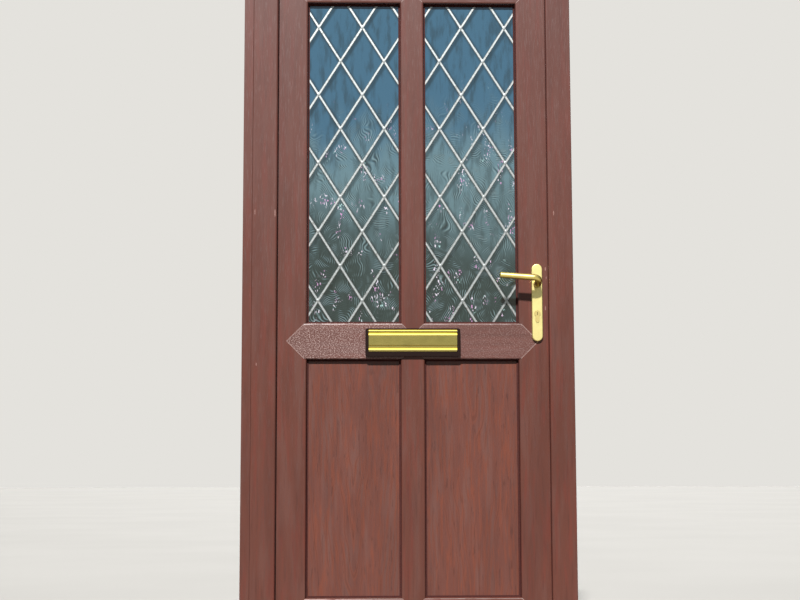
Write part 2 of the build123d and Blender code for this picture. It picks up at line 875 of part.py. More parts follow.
with BuildPart() as lock_keep:
    z0, z1 = deadbolt_limits[0] - keep_margin, latch_limits[1] + keep_margin
    lip_y = groove_y + latch_thickness / 2 + running_gap
    block((keep_face - keep_base, keep_face), across(keep_width), (z0, z1))
    block((keep_face - keep_height, keep_face - keep_base), (lip_y, lip_y + keep_lip),
          (deadbolt_limits[0], latch_limits[1]))
    for limits, width in ((latch_limits, latch_thickness), (deadbolt_limits, deadbolt_thickness)):
        block((keep_face - keep_height, keep_face), across(width, running_gap),
              (limits[0] - window_play, limits[1] + window_play), mode=Mode.SUBTRACT)
write(lock_keep, "lock_keep")

# Profile cylinder with its turning plug and cam

cylinder_y = (sash_outside - plate_thickness - cylinder_proud, sash_inside + plate_thickness + cylinder_proud)
with BuildPart() as cylinder_body:
    with BuildSketch(Plane.XZ.offset(-cylinder_y[1])):
        with Locations((spindle_x, cylinder_z)):
            add(cylinder_outline())
    extrude(amount=cylinder_y[1] - cylinder_y[0])
    with BuildSketch(Plane.XZ.offset(-groove_y)):
        with Locations((spindle_x, cylinder_z)):
            Circle(cam_radius + window_play)
    extrude(amount=cam_width / 2 + running_gap, both=True, mode=Mode.SUBTRACT)
    cut_holes([(spindle_x, groove_y, cylinder_z)], plug_radius + plug_play, (0, 1, 0), sash_depth)
write(cylinder_body, "cylinder_body")

with BuildPart() as cylinder_plug:
    with BuildSketch(Plane.XZ.offset(-cylinder_y[1])):
        with Locations((spindle_x, cylinder_z)):
            Circle(plug_radius)
    extrude(amount=cylinder_y[1] - cylinder_y[0])
    with BuildSketch(Plane.XZ.offset(-groove_y)):
        with Locations((spindle_x, cylinder_z)):
            Circle(cylinder_radius)
        with Locations((spindle_x, cylinder_z - cam_radius + cam_nose / 2)):
            Circle(cam_nose / 2)
        field((spindle_x - cam_nose / 2, spindle_x + cam_nose / 2),
              (cylinder_z - cam_radius + cam_nose / 2, cylinder_z))
    extrude(amount=cam_width / 2, both=True)
    for y in ((cylinder_y[0], cylinder_y[0] + keyway_depth), (cylinder_y[1] - keyway_depth, cylinder_y[1])):
        block((spindle_x - keyway_width / 2, spindle_x + keyway_width / 2), y,
              (cylinder_z - keyway_height / 2, cylinder_z + keyway_height / 2), mode=Mode.SUBTRACT)
write(cylinder_plug, "cylinder_plug")


# Lever handles, their backplates, spindle and through screws

plate_front = sash_outside - plate_thickness
mid_plane = Plane.XZ.offset(-plate_mid_y)

with BuildPart() as handle_plate_outside:
    with BuildSketch(Plane.XZ.offset(-sash_outside)):
        with Locations((spindle_x, plate_z)):
            SlotOverall(plate_length, plate_width, rotation=90)
    extrude(amount=plate_thickness)
    fillet(handle_plate_outside.faces().sort_by(Axis.Y)[0].edges(), plate_edge)
    with BuildSketch(Plane.XZ.offset(-sash_outside)):
        with Locations((spindle_x, plate_z)):
            SlotOverall(plate_length - 2 * plate_wall, plate_width - 2 * plate_wall, rotation=90)
        for z in handle_screw_heights:
            with Locations((spindle_x, z)):
                Circle(handle_boss_radius, mode=Mode.SUBTRACT)
    extrude(amount=plate_thickness - plate_wall, mode=Mode.SUBTRACT)
    cut_holes([spindle_axis], lever_neck_radius + turning_gap, (0, 1, 0), sash_depth)
    cut_cylinder(running_gap, (plate_front, sash_outside))
    cut_holes([(spindle_x, sash_outside, z) for z in handle_screw_heights], handle_screw_radius,
              (0, 1, 0), plate_thickness - plate_wall)
write(handle_plate_outside, "handle_plate_outside")

with BuildPart() as handle_plate_inside:
    add(handle_plate_outside.part.mirror(mid_plane))
    cut_holes(handle_screw_points, handle_screw_radius, (0, 1, 0), sash_depth)
    for z in handle_screw_heights:
        with BuildSketch(Plane.XZ.offset(-sash_inside - plate_thickness)):
            with Locations((spindle_x, z)):
                Circle(handle_screw_head_radius)
        extrude(amount=handle_screw_head, mode=Mode.SUBTRACT)
write(handle_plate_inside, "handle_plate_inside")

with BuildPart() as handle_screws:
    for z in handle_screw_heights:
        with BuildSketch(Plane.XZ.offset(-sash_inside - plate_thickness)):
            with Locations((spindle_x, z)):
                Circle(handle_screw_head_radius)
        extrude(amount=handle_screw_head)
        with BuildSketch(Plane.XZ.offset(-sash_inside - plate_thickness + handle_screw_head)):
            with Locations((spindle_x, z)):
                Circle(handle_screw_radius)
        extrude(amount=sash_depth + 2 * plate_thickness - handle_screw_head - plate_wall)
write(handle_screws, "handle_screws")

lever_root_y = plate_front + lever_seat
lever_bar_y = plate_front - lever_reach
with BuildPart() as lever_outside:
    with BuildLine():
        route = FilletPolyline(
            (spindle_x, lever_root_y, spindle_height),
            (spindle_x, plate_front - lever_neck, spindle_height),
            (spindle_x, lever_bar_y, spindle_height + lever_lift),
            (spindle_x - lever_length, lever_bar_y, spindle_height + lever_lift + lever_rise),
            radius=[lever_turn, lever_bend],
        )
    with BuildSketch(Plane(origin=route @ 0, z_dir=route % 0)):
        Circle(lever_neck_radius)
    with BuildSketch(Plane(origin=route @ 1, z_dir=route % 1)):
        Circle(lever_tip_radius)
    sweep(multisection=True)
    fillet(lever_outside.faces().sort_by(Axis.X)[0].edges(), lever_tip_round)
    with BuildSketch(Plane.XZ.offset(-lever_root_y)):
        with Locations((spindle_x, spindle_height)):
            Rectangle(spindle_size + 2 * spindle_play, spindle_size + 2 * spindle_play)
    extrude(amount=spindle_socket, mode=Mode.SUBTRACT)
write(lever_outside, "lever_outside")

with BuildPart() as lever_inside:
    add(lever_outside.part.mirror(mid_plane))
write(lever_inside, "lever_inside")

with BuildPart() as spindle:
    half = plate_mid_y - lever_root_y + spindle_socket - running_gap
    block((spindle_x - spindle_size / 2, spindle_x + spindle_size / 2),
          (plate_mid_y - half, plate_mid_y + half),
          (spindle_height - spindle_size / 2, spindle_height + spindle_size / 2))
write(spindle, "spindle")

with BuildPart() as lock_follower:
    with BuildSketch(Plane.XZ.offset(-groove_y)):
        with Locations((spindle_x, spindle_height)):
            Circle(follower_radius)
            Rectangle(spindle_size + 2 * spindle_play, spindle_size + 2 * spindle_play, mode=Mode.SUBTRACT)
    extrude(amount=follower_thickness / 2, both=True)
write(lock_follower, "lock_follower")


# Flag hinges on the room side, each with a pin through three knuckles

frame_plate_edge = flange_box[0] - hinge_frame_plate_gap
frame_plate_x = (frame_plate_edge - hinge_frame_plate_width, frame_plate_edge)
leaf_plate_edge = flange_box[0] + hinge_leaf_plate_margin
leaf_plate_x = (leaf_plate_edge, leaf_plate_edge + hinge_leaf_plate_width)
hinge_screw_offsets = (-hinge_screw_pitch, 0, hinge_screw_pitch)
knuckle_limits = [
    (-hinge_length / 2, -hinge_middle / 2 - hinge_end_play),
    (hinge_middle / 2 + hinge_end_play, hinge_length / 2),
]


def knuckle(z, radius, mode=Mode.ADD):
    """A round length on a hinge's axis between two heights."""
    with BuildSketch(Plane.XY.offset(z[0])) as disc:
        with Locations((hinge_x, hinge_y)):
            Circle(radius)
    extrude(disc.sketch, amount=z[1] - z[0], mode=mode)


def screw_points(x, y):
    """Screw positions of every hinge plate on one side of the hinges."""
    return [(x, y, z + offset) for z in hinge_heights for offset in hinge_screw_offsets]


frame_screw_points = screw_points((frame_plate_x[0] + frame_plate_x[1]) / 2, frame_depth + hinge_plate)
leaf_screw_points = screw_points((leaf_plate_x[0] + leaf_plate_x[1]) / 2, sash_inside + hinge_plate)

with BuildPart() as hinge_frame_plates:
    for z in hinge_heights:
        ends = (z - hinge_length / 2, z + hinge_length / 2)
        block(frame_plate_x, (frame_depth, frame_depth + hinge_plate), ends)
        for low, high in knuckle_limits:
            knuckle((z + low, z + high), hinge_knuckle_radius)
            block((hinge_x - hinge_knuckle_radius, hinge_x), (frame_depth, hinge_y), (z + low, z + high))
        knuckle(ends, hinge_pin_radius, mode=Mode.SUBTRACT)
    cut_holes(frame_screw_points, hinge_screw_radius, (0, 1, 0), hinge_plate)
    cut_holes(frame_screw_points, hinge_screw_head_radius, (0, 1, 0), hinge_screw_head)
write(hinge_frame_plates, "hinge_frame_plates")

with BuildPart() as hinge_leaf_plates:
    for z in hinge_heights:
        middle = (z - hinge_middle / 2, z + hinge_middle / 2)
        ends = (z - hinge_length / 2, z + hinge_length / 2)
        block(leaf_plate_x, (sash_inside, sash_inside + hinge_plate), ends)
        knuckle(middle, hinge_knuckle_radius)
        block((hinge_x, leaf_plate_x[0] + hinge_plate),
              (hinge_y - hinge_knuckle_radius, sash_inside + hinge_plate), middle)
        knuckle(middle, hinge_pin_radius + hinge_pin_play, mode=Mode.SUBTRACT)
    cut_holes(leaf_screw_points, hinge_screw_radius, (0, 1, 0), hinge_plate)
    cut_holes(leaf_screw_points, hinge_screw_head_radius, (0, 1, 0), hinge_screw_head)
write(hinge_leaf_plates, "hinge_leaf_plates")

with BuildPart() as hinge_pins:
    for z in hinge_heights:
        knuckle((z - hinge_length / 2, z + hinge_length / 2), hinge_pin_radius)
write(hinge_pins, "hinge_pins")


def hinge_screws(points):
    """Pan-head screws seated in their plates, biting into the profile behind."""
    with BuildPart() as screws:
        for x, y, z in points:
            with BuildSketch(Plane(origin=(x, y - hinge_screw_head, z), z_dir=(0, 1, 0))):
                Circle(hinge_screw_head_radius)
            extrude(amount=hinge_screw_head)
            with BuildSketch(Plane(origin=(x, y - hinge_screw_head, z), z_dir=(0, -1, 0))):
                Circle(hinge_screw_radius)
            extrude(amount=hinge_screw_length)
    return screws


write(hinge_screws(frame_screw_points), "hinge_frame_screws")
write(hinge_screws(leaf_screw_points), "hinge_leaf_screws")


# Letterplate: surround, sprung outer flap, sleeve through the midrail, inner frame and flap

surround_front = sash_outside - letterplate_proud
flap_x = (leaf_centre - flap_length / 2, leaf_centre + flap_length / 2)
flap_z = (flap_top - flap_height, flap_top)
slot_x = (leaf_centre - slot_length / 2, leaf_centre + slot_length / 2)
slot_z = (letterplate_z - slot_height / 2, letterplate_z + slot_height / 2)
outer_pin = (sash_outside - letterplate_floor - flap_play - flap_roll, flap_top - flap_roll)
inner_roll = inner_flap_thickness
inner_pin = (sash_inside + letterplate_floor + flap_play + inner_roll, flap_top - inner_roll)


def letterplate_frame(back, front):
    """A rounded frame with a recess for its flap, a slot, pin seats and screw holes."""
    y = sorted((back, front))
    floor_y = back + (letterplate_floor if front > back else -letterplate_floor)
    pin_y, pin_z = inner_pin if front > back else outer_pin
    with BuildPart() as body:
        with BuildSketch(Plane.XZ.offset(-y[1])):
            with Locations((leaf_centre, letterplate_z)):
                RectangleRounded(letterplate_length, letterplate_height, letterplate_corner)
        extrude(amount=y[1] - y[0])
        block((flap_x[0] - flap_play, flap_x[1] + flap_play), sorted((floor_y, front)),
              (flap_z[0] - flap_play, flap_z[1] + flap_play), mode=Mode.SUBTRACT)
        block(slot_x, y, slot_z, mode=Mode.SUBTRACT)
        with BuildSketch(Plane.YZ.offset(flap_x[0] - flap_play - flap_pin_seat)):
            with Locations((pin_y, pin_z)):
                Circle(flap_pin_radius)
        extrude(amount=flap_length + 2 * (flap_play + flap_pin_seat), mode=Mode.SUBTRACT)
    return body


letterplate_surround = letterplate_frame(sash_outside, surround_front)
with letterplate_surround:
    cut_holes([(x, sash_outside, z) for x, _, z in letterplate_screw_points], letterplate_screw_radius,
              (0, 1, 0), letterplate_screw_depth)
write(letterplate_surround, "letterplate_surround")

inner_front = sash_inside + inner_frame_proud
letterplate_inner_frame = letterplate_frame(sash_inside, inner_front)
with letterplate_inner_frame:
    cut_holes(letterplate_screw_points, letterplate_screw_radius, (0, 1, 0), sash_depth)
write(letterplate_inner_frame, "letterplate_inner_frame")

with BuildPart() as letterplate_sleeve:
    block(sleeve_x, (sash_outside, sash_inside), sleeve_z)
    block(slot_x, (sash_outside, sash_inside), slot_z, mode=Mode.SUBTRACT)
write(letterplate_sleeve, "letterplate_sleeve")

with BuildPart() as letterplate_screws:
    for x, _, z in letterplate_screw_points:
        with BuildSketch(Plane.XZ.offset(-inner_front)):
            with Locations((x, z)):
                Circle(letterplate_screw_radius)
        extrude(amount=inner_front - sash_outside + letterplate_screw_depth)
write(letterplate_screws, "letterplate_screws")

with BuildPart() as flap_pins:
    for pin_y, pin_z in (outer_pin, inner_pin):
        with BuildSketch(Plane.YZ.offset(flap_x[0] - flap_play - flap_pin_seat)):
            with Locations((pin_y, pin_z)):
                Circle(flap_pin_radius)
        extrude(amount=flap_length + 2 * (flap_play + flap_pin_seat))
write(flap_pins, "flap_pins")

# Moulded front of the outer flap: roll, slope, flat field, groove, band, groove and half-round foot
flap_back = outer_pin[0] + flap_roll - flap_play / 2
flap_crest = outer_pin[0] - flap_roll - flap_play
flap_groove = flap_crest + flap_groove_depth
slope_top = outer_pin[1] - flap_roll + flap_groove_half
field_top = slope_top - flap_slope
field_foot = field_top - flap_field
band_top = field_foot - 2 * flap_groove_half
band_foot = band_top - flap_band
torus_top = band_foot - flap_groove_half
with BuildPart() as letterplate_flap:
    with BuildSketch(Plane.YZ.offset(flap_x[0])):
        with BuildLine():
            front = Polyline(
                (flap_back, outer_pin[1]),
                (outer_pin[0] - flap_roll, outer_pin[1]),
                (flap_groove, slope_top),
                (flap_crest, field_top),
                (flap_crest, field_foot),
                (flap_groove, field_foot - flap_groove_half),
                (flap_crest + flap_band_setback, band_top),
                (flap_crest + flap_band_setback, band_foot),
                (flap_groove, torus_top),
            )
            bulge = (flap_crest, (torus_top + flap_z[0]) / 2)
            torus = ThreePointArc(front @ 1, bulge, (flap_groove, flap_z[0]))
            Polyline(torus @ 1, (flap_back, flap_z[0]), front @ 0)
        make_face()
        with Locations(outer_pin):
            Circle(flap_roll)
    extrude(amount=flap_length)
    block((flap_x[0] + flap_shell, flap_x[1] - flap_shell), (flap_groove + flap_shell, flap_back),
          (flap_z[0] + flap_shell, outer_pin[1] - flap_roll), mode=Mode.SUBTRACT)
    with BuildSketch(Plane.YZ.offset(flap_x[0])):
        with Locations(outer_pin):
            Circle(flap_pin_radius + flap_pin_play)
    extrude(amount=flap_length, mode=Mode.SUBTRACT)
write(letterplate_flap, "letterplate_flap")

with BuildPart() as letterplate_inner_flap:
    with BuildSketch(Plane.YZ.offset(flap_x[0])):
        with Locations(inner_pin):
            Circle(inner_roll)
        field((inner_pin[0] - inner_flap_thickness / 2, inner_pin[0] + inner_flap_thickness / 2),
              (flap_z[0], inner_pin[1]))
        with Locations(inner_pin):
            Circle(flap_pin_radius + flap_pin_play, mode=Mode.SUBTRACT)
    extrude(amount=flap_length)
write(letterplate_inner_flap, "letterplate_inner_flap")
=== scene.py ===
import math

import bmesh
import bpy
from bpy.props import FloatProperty, FloatVectorProperty, PointerProperty
from mathutils import Matrix, Vector


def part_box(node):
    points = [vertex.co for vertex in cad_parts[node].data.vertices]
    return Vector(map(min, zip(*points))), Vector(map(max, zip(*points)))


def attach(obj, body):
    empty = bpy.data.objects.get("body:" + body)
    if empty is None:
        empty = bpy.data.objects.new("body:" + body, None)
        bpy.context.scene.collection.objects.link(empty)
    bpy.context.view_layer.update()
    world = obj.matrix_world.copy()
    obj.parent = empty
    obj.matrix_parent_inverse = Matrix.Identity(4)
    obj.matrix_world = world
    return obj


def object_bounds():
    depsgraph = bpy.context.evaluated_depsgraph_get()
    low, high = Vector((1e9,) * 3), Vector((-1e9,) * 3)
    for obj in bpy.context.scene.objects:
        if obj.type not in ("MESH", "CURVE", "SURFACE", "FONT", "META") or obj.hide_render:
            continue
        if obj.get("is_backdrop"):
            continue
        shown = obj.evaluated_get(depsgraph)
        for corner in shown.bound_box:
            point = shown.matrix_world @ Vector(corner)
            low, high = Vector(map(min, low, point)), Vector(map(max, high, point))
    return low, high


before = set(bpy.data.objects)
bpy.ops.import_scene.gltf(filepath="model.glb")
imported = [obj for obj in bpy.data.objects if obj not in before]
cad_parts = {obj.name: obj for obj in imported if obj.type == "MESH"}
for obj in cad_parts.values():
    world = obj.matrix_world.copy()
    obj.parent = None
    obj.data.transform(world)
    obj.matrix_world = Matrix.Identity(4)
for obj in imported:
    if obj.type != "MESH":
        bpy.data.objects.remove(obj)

bl_info = {
    "name": "Panelled front door",
    "version": (1, 0, 0),
    "blender": (4, 5, 0),
    "location": "3D View > Sidebar > Front door",
    "description": "Finishes a panelled front door: foil, rippled glass, lead, gold fittings and welds",
    "category": "Object",
}

# One millimetre in the scene's metres
MM = 0.001

# Faces and openings of the door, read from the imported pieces
LEAF_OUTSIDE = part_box("midrail")[0].y
LEAF_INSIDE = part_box("midrail")[1].y
FRAME_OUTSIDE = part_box("frame_head")[0].y
FRAME_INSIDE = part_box("frame_head")[1].y
LIGHT_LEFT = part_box("hinge_stile")[1].x
LIGHT_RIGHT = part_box("lock_stile")[0].x
LIGHT_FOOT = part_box("bottom_rail")[1].z
LIGHT_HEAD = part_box("top_rail")[0].z
MIDRAIL_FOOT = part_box("midrail")[0].z
MIDRAIL_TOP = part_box("midrail")[1].z
MULLION_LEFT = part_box("upper_mullion")[0].x
MULLION_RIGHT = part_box("upper_mullion")[1].x

# The profiles' nibs stop short of the room side, so joints there are narrower. Their edges are rounded
NIB = 20 * MM
NIB_ROUNDING = 5.5 * MM
ARRIS_ROUNDING = 2 * MM

# Lead lattice: size of a diamond, a crossing in each light and the border in which no crossing shows
DIAMOND_WIDTH = 122.2 * MM
DIAMOND_HEIGHT = 193.6 * MM
CROSSING_INSET = 29.5 * MM
CROSSING_DROP = 65.4 * MM
LEAD_MARGIN = 10 * MM

# Rows and columns of diamonds, counted from that crossing, that reach past every edge of a light
LATTICE_ROWS = range(-1, 6)
LATTICE_COLUMNS = range(-3, 4)

# Painted shadow and image of the lead in a sealed unit: how far they lie right of the strips and below them
IMAGE_ASIDE = 4 * MM
IMAGE_DROP = 6 * MM

# From the top of a letterplate flap down to the middle of the painted olive shade on its upper slope
FLAP_DULL = 9.2 * MM

# Length of one piece of a seam, short enough to follow a rounded edge
SEAM_STEP = 1.2 * MM

# Screw heads: points nearer together than this are on one head, and points this near the outer plane are
# on its face. A recess reaches over a share of the head's radius and stands a little proud of it
SCREWS_APART = 12 * MM
HEAD_FLATNESS = 0.01 * MM
RECESS_REACH = 0.62
RECESS_PROUD = 0.04 * MM

# Studio: the disc of the floor and the drifts in its paint, the lamps, and the sensor in millimetres
FLOOR_RADIUS = 40
FLOOR_SIDES = 64
FLOOR_DRIFT = 1.5
KEY_DISTANCE = 6
ROOM_LAMP_PLACE = Vector((0.4, 5.0, 3.2))
SENSOR_WIDTH = 36

BODY_LEAF = "leaf"
BODY_FRAME = "frame"

# Share of fine detail in every noise, and a Map Range that eases in and out
NOISE_ROUGHNESS = 0.55
EASED = {"interpolation_type": "SMOOTHSTEP"}


def linear(code):
    """Linear RGBA of an sRGB hex colour."""
    parts = [int(code[i:i + 2], 16) / 255 for i in (1, 3, 5)]
    return [p / 12.92 if p <= 0.04045 else ((p + 0.055) / 1.055) ** 2.4 for p in parts] + [1.0]


def tint(label, code, about):
    """A colour setting with its default given as sRGB hex."""
    return FloatVectorProperty(name=label, description=about, default=linear(code), size=4,
                               subtype="COLOR", min=0, max=1)


def measure(label, value, about, unit="NONE"):
    """A number setting. A length is in metres."""
    return FloatProperty(name=label, description=about, default=value, unit=unit)


def angle(label, degrees, about):
    """An angle setting with its default given in degrees."""
    return measure(label, math.radians(degrees), about, "ROTATION")


class DoorFoilSettings(bpy.types.PropertyGroup):
    """Colours of the woodgrain foil."""
    stile: tint("Stile brown", "#66382c", "Ground colour of the upright profiles")
    stile_red: tint("Stile red", "#70372b", "Redder streaks of the upright profiles")
    stile_pale: tint("Stile pale", "#6b4238", "Greyer streaks of the upright profiles")
    vein: tint("Vein", "#40211b", "Dark veins and pores")
    panel: tint("Panel brown", "#6e3f34", "Ground colour of the flat panels")
    panel_red: tint("Panel red", "#7d4230", "Warmer streaks of the flat panels")
    panel_pale: tint("Panel pale", "#734b42", "Greyer streaks of the flat panels")
    # Painted sheen: the midrail's greyer, pinker tones stand for its across-running grain catching the light
    midrail: tint("Midrail", "#6b433b", "Ground colour of the midrail, greyer and pinker than the stiles")
    midrail_red: tint("Midrail pink", "#744840", "Pinker streaks of the midrail")
    midrail_pale: tint("Midrail pale", "#73504a", "Greyer streaks of the midrail")
    # Painted sky sheen: the foil higher up is painted paler, where it would mirror more sky
    sky_sheen: tint("Bleached", "#724b43", "Foil higher up, where sun and rain have paled it")
    # Painted shade: the foil is painted darker red where its faces turn sideways or down, away from the light
    bend: tint("Bend", "#3b1415", "Dark red of the foil wherever it bends away")
    # Painted glints: bright flecks that stand for light caught by the embossing
    fleck: tint("Fleck", "#c2a7a0", "Bright flecks that the embossing catches")
    seam: tint("Seam", "#b59d96", "Trimmed weld where two profiles meet")


class DoorFittingSettings(bpy.types.PropertyGroup):
    """Colours of the glass, lead and fittings."""
    # Painted reflection: the upper and middle glass tones stand for a mirrored sky, the lower one partly for
    # darker surroundings
    sky: tint("Glass upper", "#40667c", "Upper glass")
    mist: tint("Glass middle", "#69868d", "Middle of the glass, where the blue fades")
    deep: tint("Glass lower", "#2f3d3b", "Lower glass")
    smoke: tint("Glass streak", "#26312f", "Soft upright streaks in the depth of the glass")
    # Painted highlights on the ripple crests and painted shade in the troughs
    ripple: tint("Ripple", "#86a0a3", "Crests of the ripples")
    trough: tint("Trough", "#1b2423", "Troughs of the ripples")
    # Painted shadow: the soft dark band of the lead's shadow and image in the glass
    image: tint("Lead's image", "#1e2827", "Soft image of the lead deeper in the glass")
    # Painted glints on the ripples
    glint: tint("Glint", "#efe6f4", "Small bright spots on the ripples")
    glint_pink: tint("Glint pink", "#d58bcb", "Pink ones among the bright spots")
    glint_green: tint("Glint green", "#9fd8cf", "Green ones among the bright spots")
    lead: tint("Lead", "#bcc0be", "Lead strips")
    gold: tint("Gold", "#e6d68f", "Satin gold fittings")
    steel: tint("Steel", "#aeb2b4", "Zinc-plated steel")
    dab: measure("Solder", 4.2 * MM, "Radius of a dab of solder", "LENGTH")


class DoorSeamSettings(bpy.types.PropertyGroup):
    """Sizes of the weld seams and the screw recesses."""
    width: measure("Seam width", 1.5 * MM, "Width of a trimmed weld", "LENGTH")
    proud: measure("Seam height", 0.12 * MM, "How far a seam stands over the foil", "LENGTH")
    margin: measure("Seam end", 3.2 * MM, "Distance from a seam's end to an edge of a profile", "LENGTH")
    recess_width: measure("Recess width", 0.8 * MM, "Width of a screw's cross recess", "LENGTH")


class DoorStudioSettings(bpy.types.PropertyGroup):
    """Camera, lights, floor and surroundings."""
    lens: measure("Lens", 67.5, "Focal length on a 36 mm sensor")
    distance: measure("Distance", 4.077, "From the camera to the outside of the frame", "LENGTH")
    aside: measure("Aside", -0.1387, "Sideways place of the camera", "LENGTH")
    eye: measure("Eye height", 0.523, "Height of the camera over the floor", "LENGTH")
    yaw: angle("Yaw", 1.626, "Turn of the camera to the right")
    pitch: angle("Pitch", 6.408, "Tilt of the camera upwards")
    roll: angle("Roll", -0.135, "Roll of the camera")
    key: measure("Key light", 4.8, "Strength of the key light")
    key_height: angle("Key elevation", 39, "Angle of the key light over the horizon")
    key_side: angle("Key side", 8, "Angle of the key light to the left of the front")
    key_spread: angle("Key softness", 3, "Angle that the key light fills")
    room: measure("Room-side light", 2.6, "Strength of the light behind the door")
    room_spread: angle("Room-side softness", 50, "Angle that the light behind fills")
    sky: measure("Sky light", 0.6, "Strength of the surroundings in mirroring faces")
    shade: measure("Shade light", 0.1, "Strength of the surroundings on matt faces")
    floor: tint("Floor", "#b6b3ad", "Painted floor")
    floor_pale: tint("Floor drift", "#bab7b1", "Paler drifts in the painted floor")
    floor_shade: tint("Floor shade", "#4d4641", "What the floor throws back on matt faces")
    backdrop: tint("Backdrop", "#e4e2dd", "Behind the door")
    horizon: tint("Horizon", "#b9b8a9", "Surroundings low down")
    sky_low: tint("Lower sky", "#a9c3dc", "Surroundings above the horizon")
    sky_high: tint("Upper sky", "#f4f6f8", "Surroundings overhead")


def plug(tree, target, inputs):
    """Fills inputs of a node, each with a value or a link. An input goes by its name, or by its number
    where several inputs share a name."""
    for key, value in inputs.items():
        if isinstance(value, bpy.types.NodeSocket):
            tree.links.new(value, target.inputs[key])
        else:
            target.inputs[key].default_value = value


def node(tree, kind, inputs=None, output=None, **settings):
    """Adds one node with its settings and its inputs, and gives its output."""
    made = tree.nodes.new(f"ShaderNode{kind}")
    for key, value in settings.items():
        setattr(made, key, value)
    plug(tree, made, inputs or {})
    return made.outputs[output] if output else next(socket for socket in made.outputs if socket.enabled)


def placed(tree, centre=(0, 0, 0), turn=(0, 0, 0), scale=(1, 1, 1)):
    """Object coordinates moved to a centre, turned and scaled."""
    coordinates = node(tree, "TexCoord", output="Object")
    moved = node(tree, "VectorMath", {0: coordinates, 1: centre}, operation="SUBTRACT")
    return node(tree, "Mapping", {"Vector": moved, "Rotation": turn, "Scale": scale})


def cloud(vector, size, detail=2.0):
    """Inputs of a noise whose blots measure about the given size."""
    return {"Vector": vector, "Scale": 1 / size, "Detail": detail, "Roughness": NOISE_ROUGHNESS}


def blots(tree, vector, size, low, high, most=1.0, detail=2.0):
    """Soft blots of one size that fade in between two levels of their noise."""
    levels = node(tree, "TexNoise", cloud(vector, size, detail))
    return node(tree, "MapRange", {0: levels, 1: low, 2: high, 4: most}, **EASED)


def tinted(tree, colour, *layers):
    """A colour under layers of others, each laid on with its own share."""
    for share, over in layers:
        colour = node(tree, "Mix", {0: share, 6: colour, 7: over}, data_type="RGBA")
    return colour


def material(name):
    """A new material with its node tree and its shader, ready to be wired."""
    made = bpy.data.materials.new(name)
    made.use_nodes = True
    return made, made.node_tree, made.node_tree.nodes["Principled BSDF"]


def coat(names, made):
    """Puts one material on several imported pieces."""
    for name in names:
        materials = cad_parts[name].data.materials
        materials.clear()
        materials.append(made)


def turned_away(tree):
    """How far a face turns sideways or down, away from straight ahead and up."""
    normal = node(tree, "TexCoord", output="Normal")
    across = node(tree, "Math", {0: node(tree, "SeparateXYZ", {0: normal}, "X")}, operation="ABSOLUTE")
    rise = node(tree, "SeparateXYZ", {0: normal}, "Z")
    down = node(tree, "Math", {0: rise, 1: -1.0}, operation="MULTIPLY")
    return node(tree, "Math", {0: across, 1: down}, operation="MAXIMUM")


def plain_sawn(tree, foot, centre):
    """Plain-sawn figure: long pointed arches stacked up the middle of a board, one every 142.8 mm. Gives
    the wave that runs through them and where it fades."""
    point = 1.2
    steepness = 16.0
    sway = 0.6
    arch_height = 142.8 * MM
    parts = placed(tree, foot)
    height = node(tree, "SeparateXYZ", {0: parts}, "Z")
    aside = node(tree, "Math", {0: node(tree, "SeparateXYZ", {0: parts}, "X")}, operation="ABSOLUTE")
    reach = node(tree, "Math", {0: aside, 1: point}, operation="POWER")
    climb = node(tree, "Math", {0: reach, 1: -steepness, 2: height}, operation="MULTIPLY_ADD")
    drift = node(tree, "TexNoise", cloud(placed(tree, centre, scale=(1, 1, 0.35)), 90 * MM))
    climb = node(tree, "Math", {0: drift, 1: sway, 2: climb}, operation="MULTIPLY_ADD")
    turns = node(tree, "Math", {0: climb, 1: math.tau / arch_height}, operation="MULTIPLY")
    waves = node(tree, "Math", {0: turns}, operation="SINE")
    return waves, blots(tree, placed(tree, centre, scale=(1, 1, 0.4)), 60 * MM, 0.40, 0.60)


def painted_embossing_glints(tree, centre):
    """Painted glints: flecks of light off the embossing, drawn 2.4 mm coarse so that they show. They are
    strongest on the hinge side, fainter towards the lock side, and missing on the room side."""
    smooth_from = 0.10
    rough_from = -0.10
    least = 0.32
    extra = 0.60
    skin = 10 * MM
    sparks = blots(tree, placed(tree, centre, scale=(0.7, 1, 1)), 2.4 * MM, 0.47, 0.68)
    aside = node(tree, "SeparateXYZ", {0: placed(tree)}, "X")
    side = node(tree, "MapRange", {0: aside, 1: smooth_from, 2: rough_from, 4: extra}, **EASED)
    share = node(tree, "Math", {0: side, 1: least}, operation="ADD")
    depth = node(tree, "SeparateXYZ", {0: placed(tree)}, "Y")
    outside = node(tree, "MapRange", {0: depth, 1: LEAF_INSIDE - skin, 2: LEAF_OUTSIDE + skin}, **EASED)
    share = node(tree, "Math", {0: share, 1: outside}, operation="MULTIPLY")
    return node(tree, "Math", {0: sparks, 1: share}, operation="MULTIPLY")


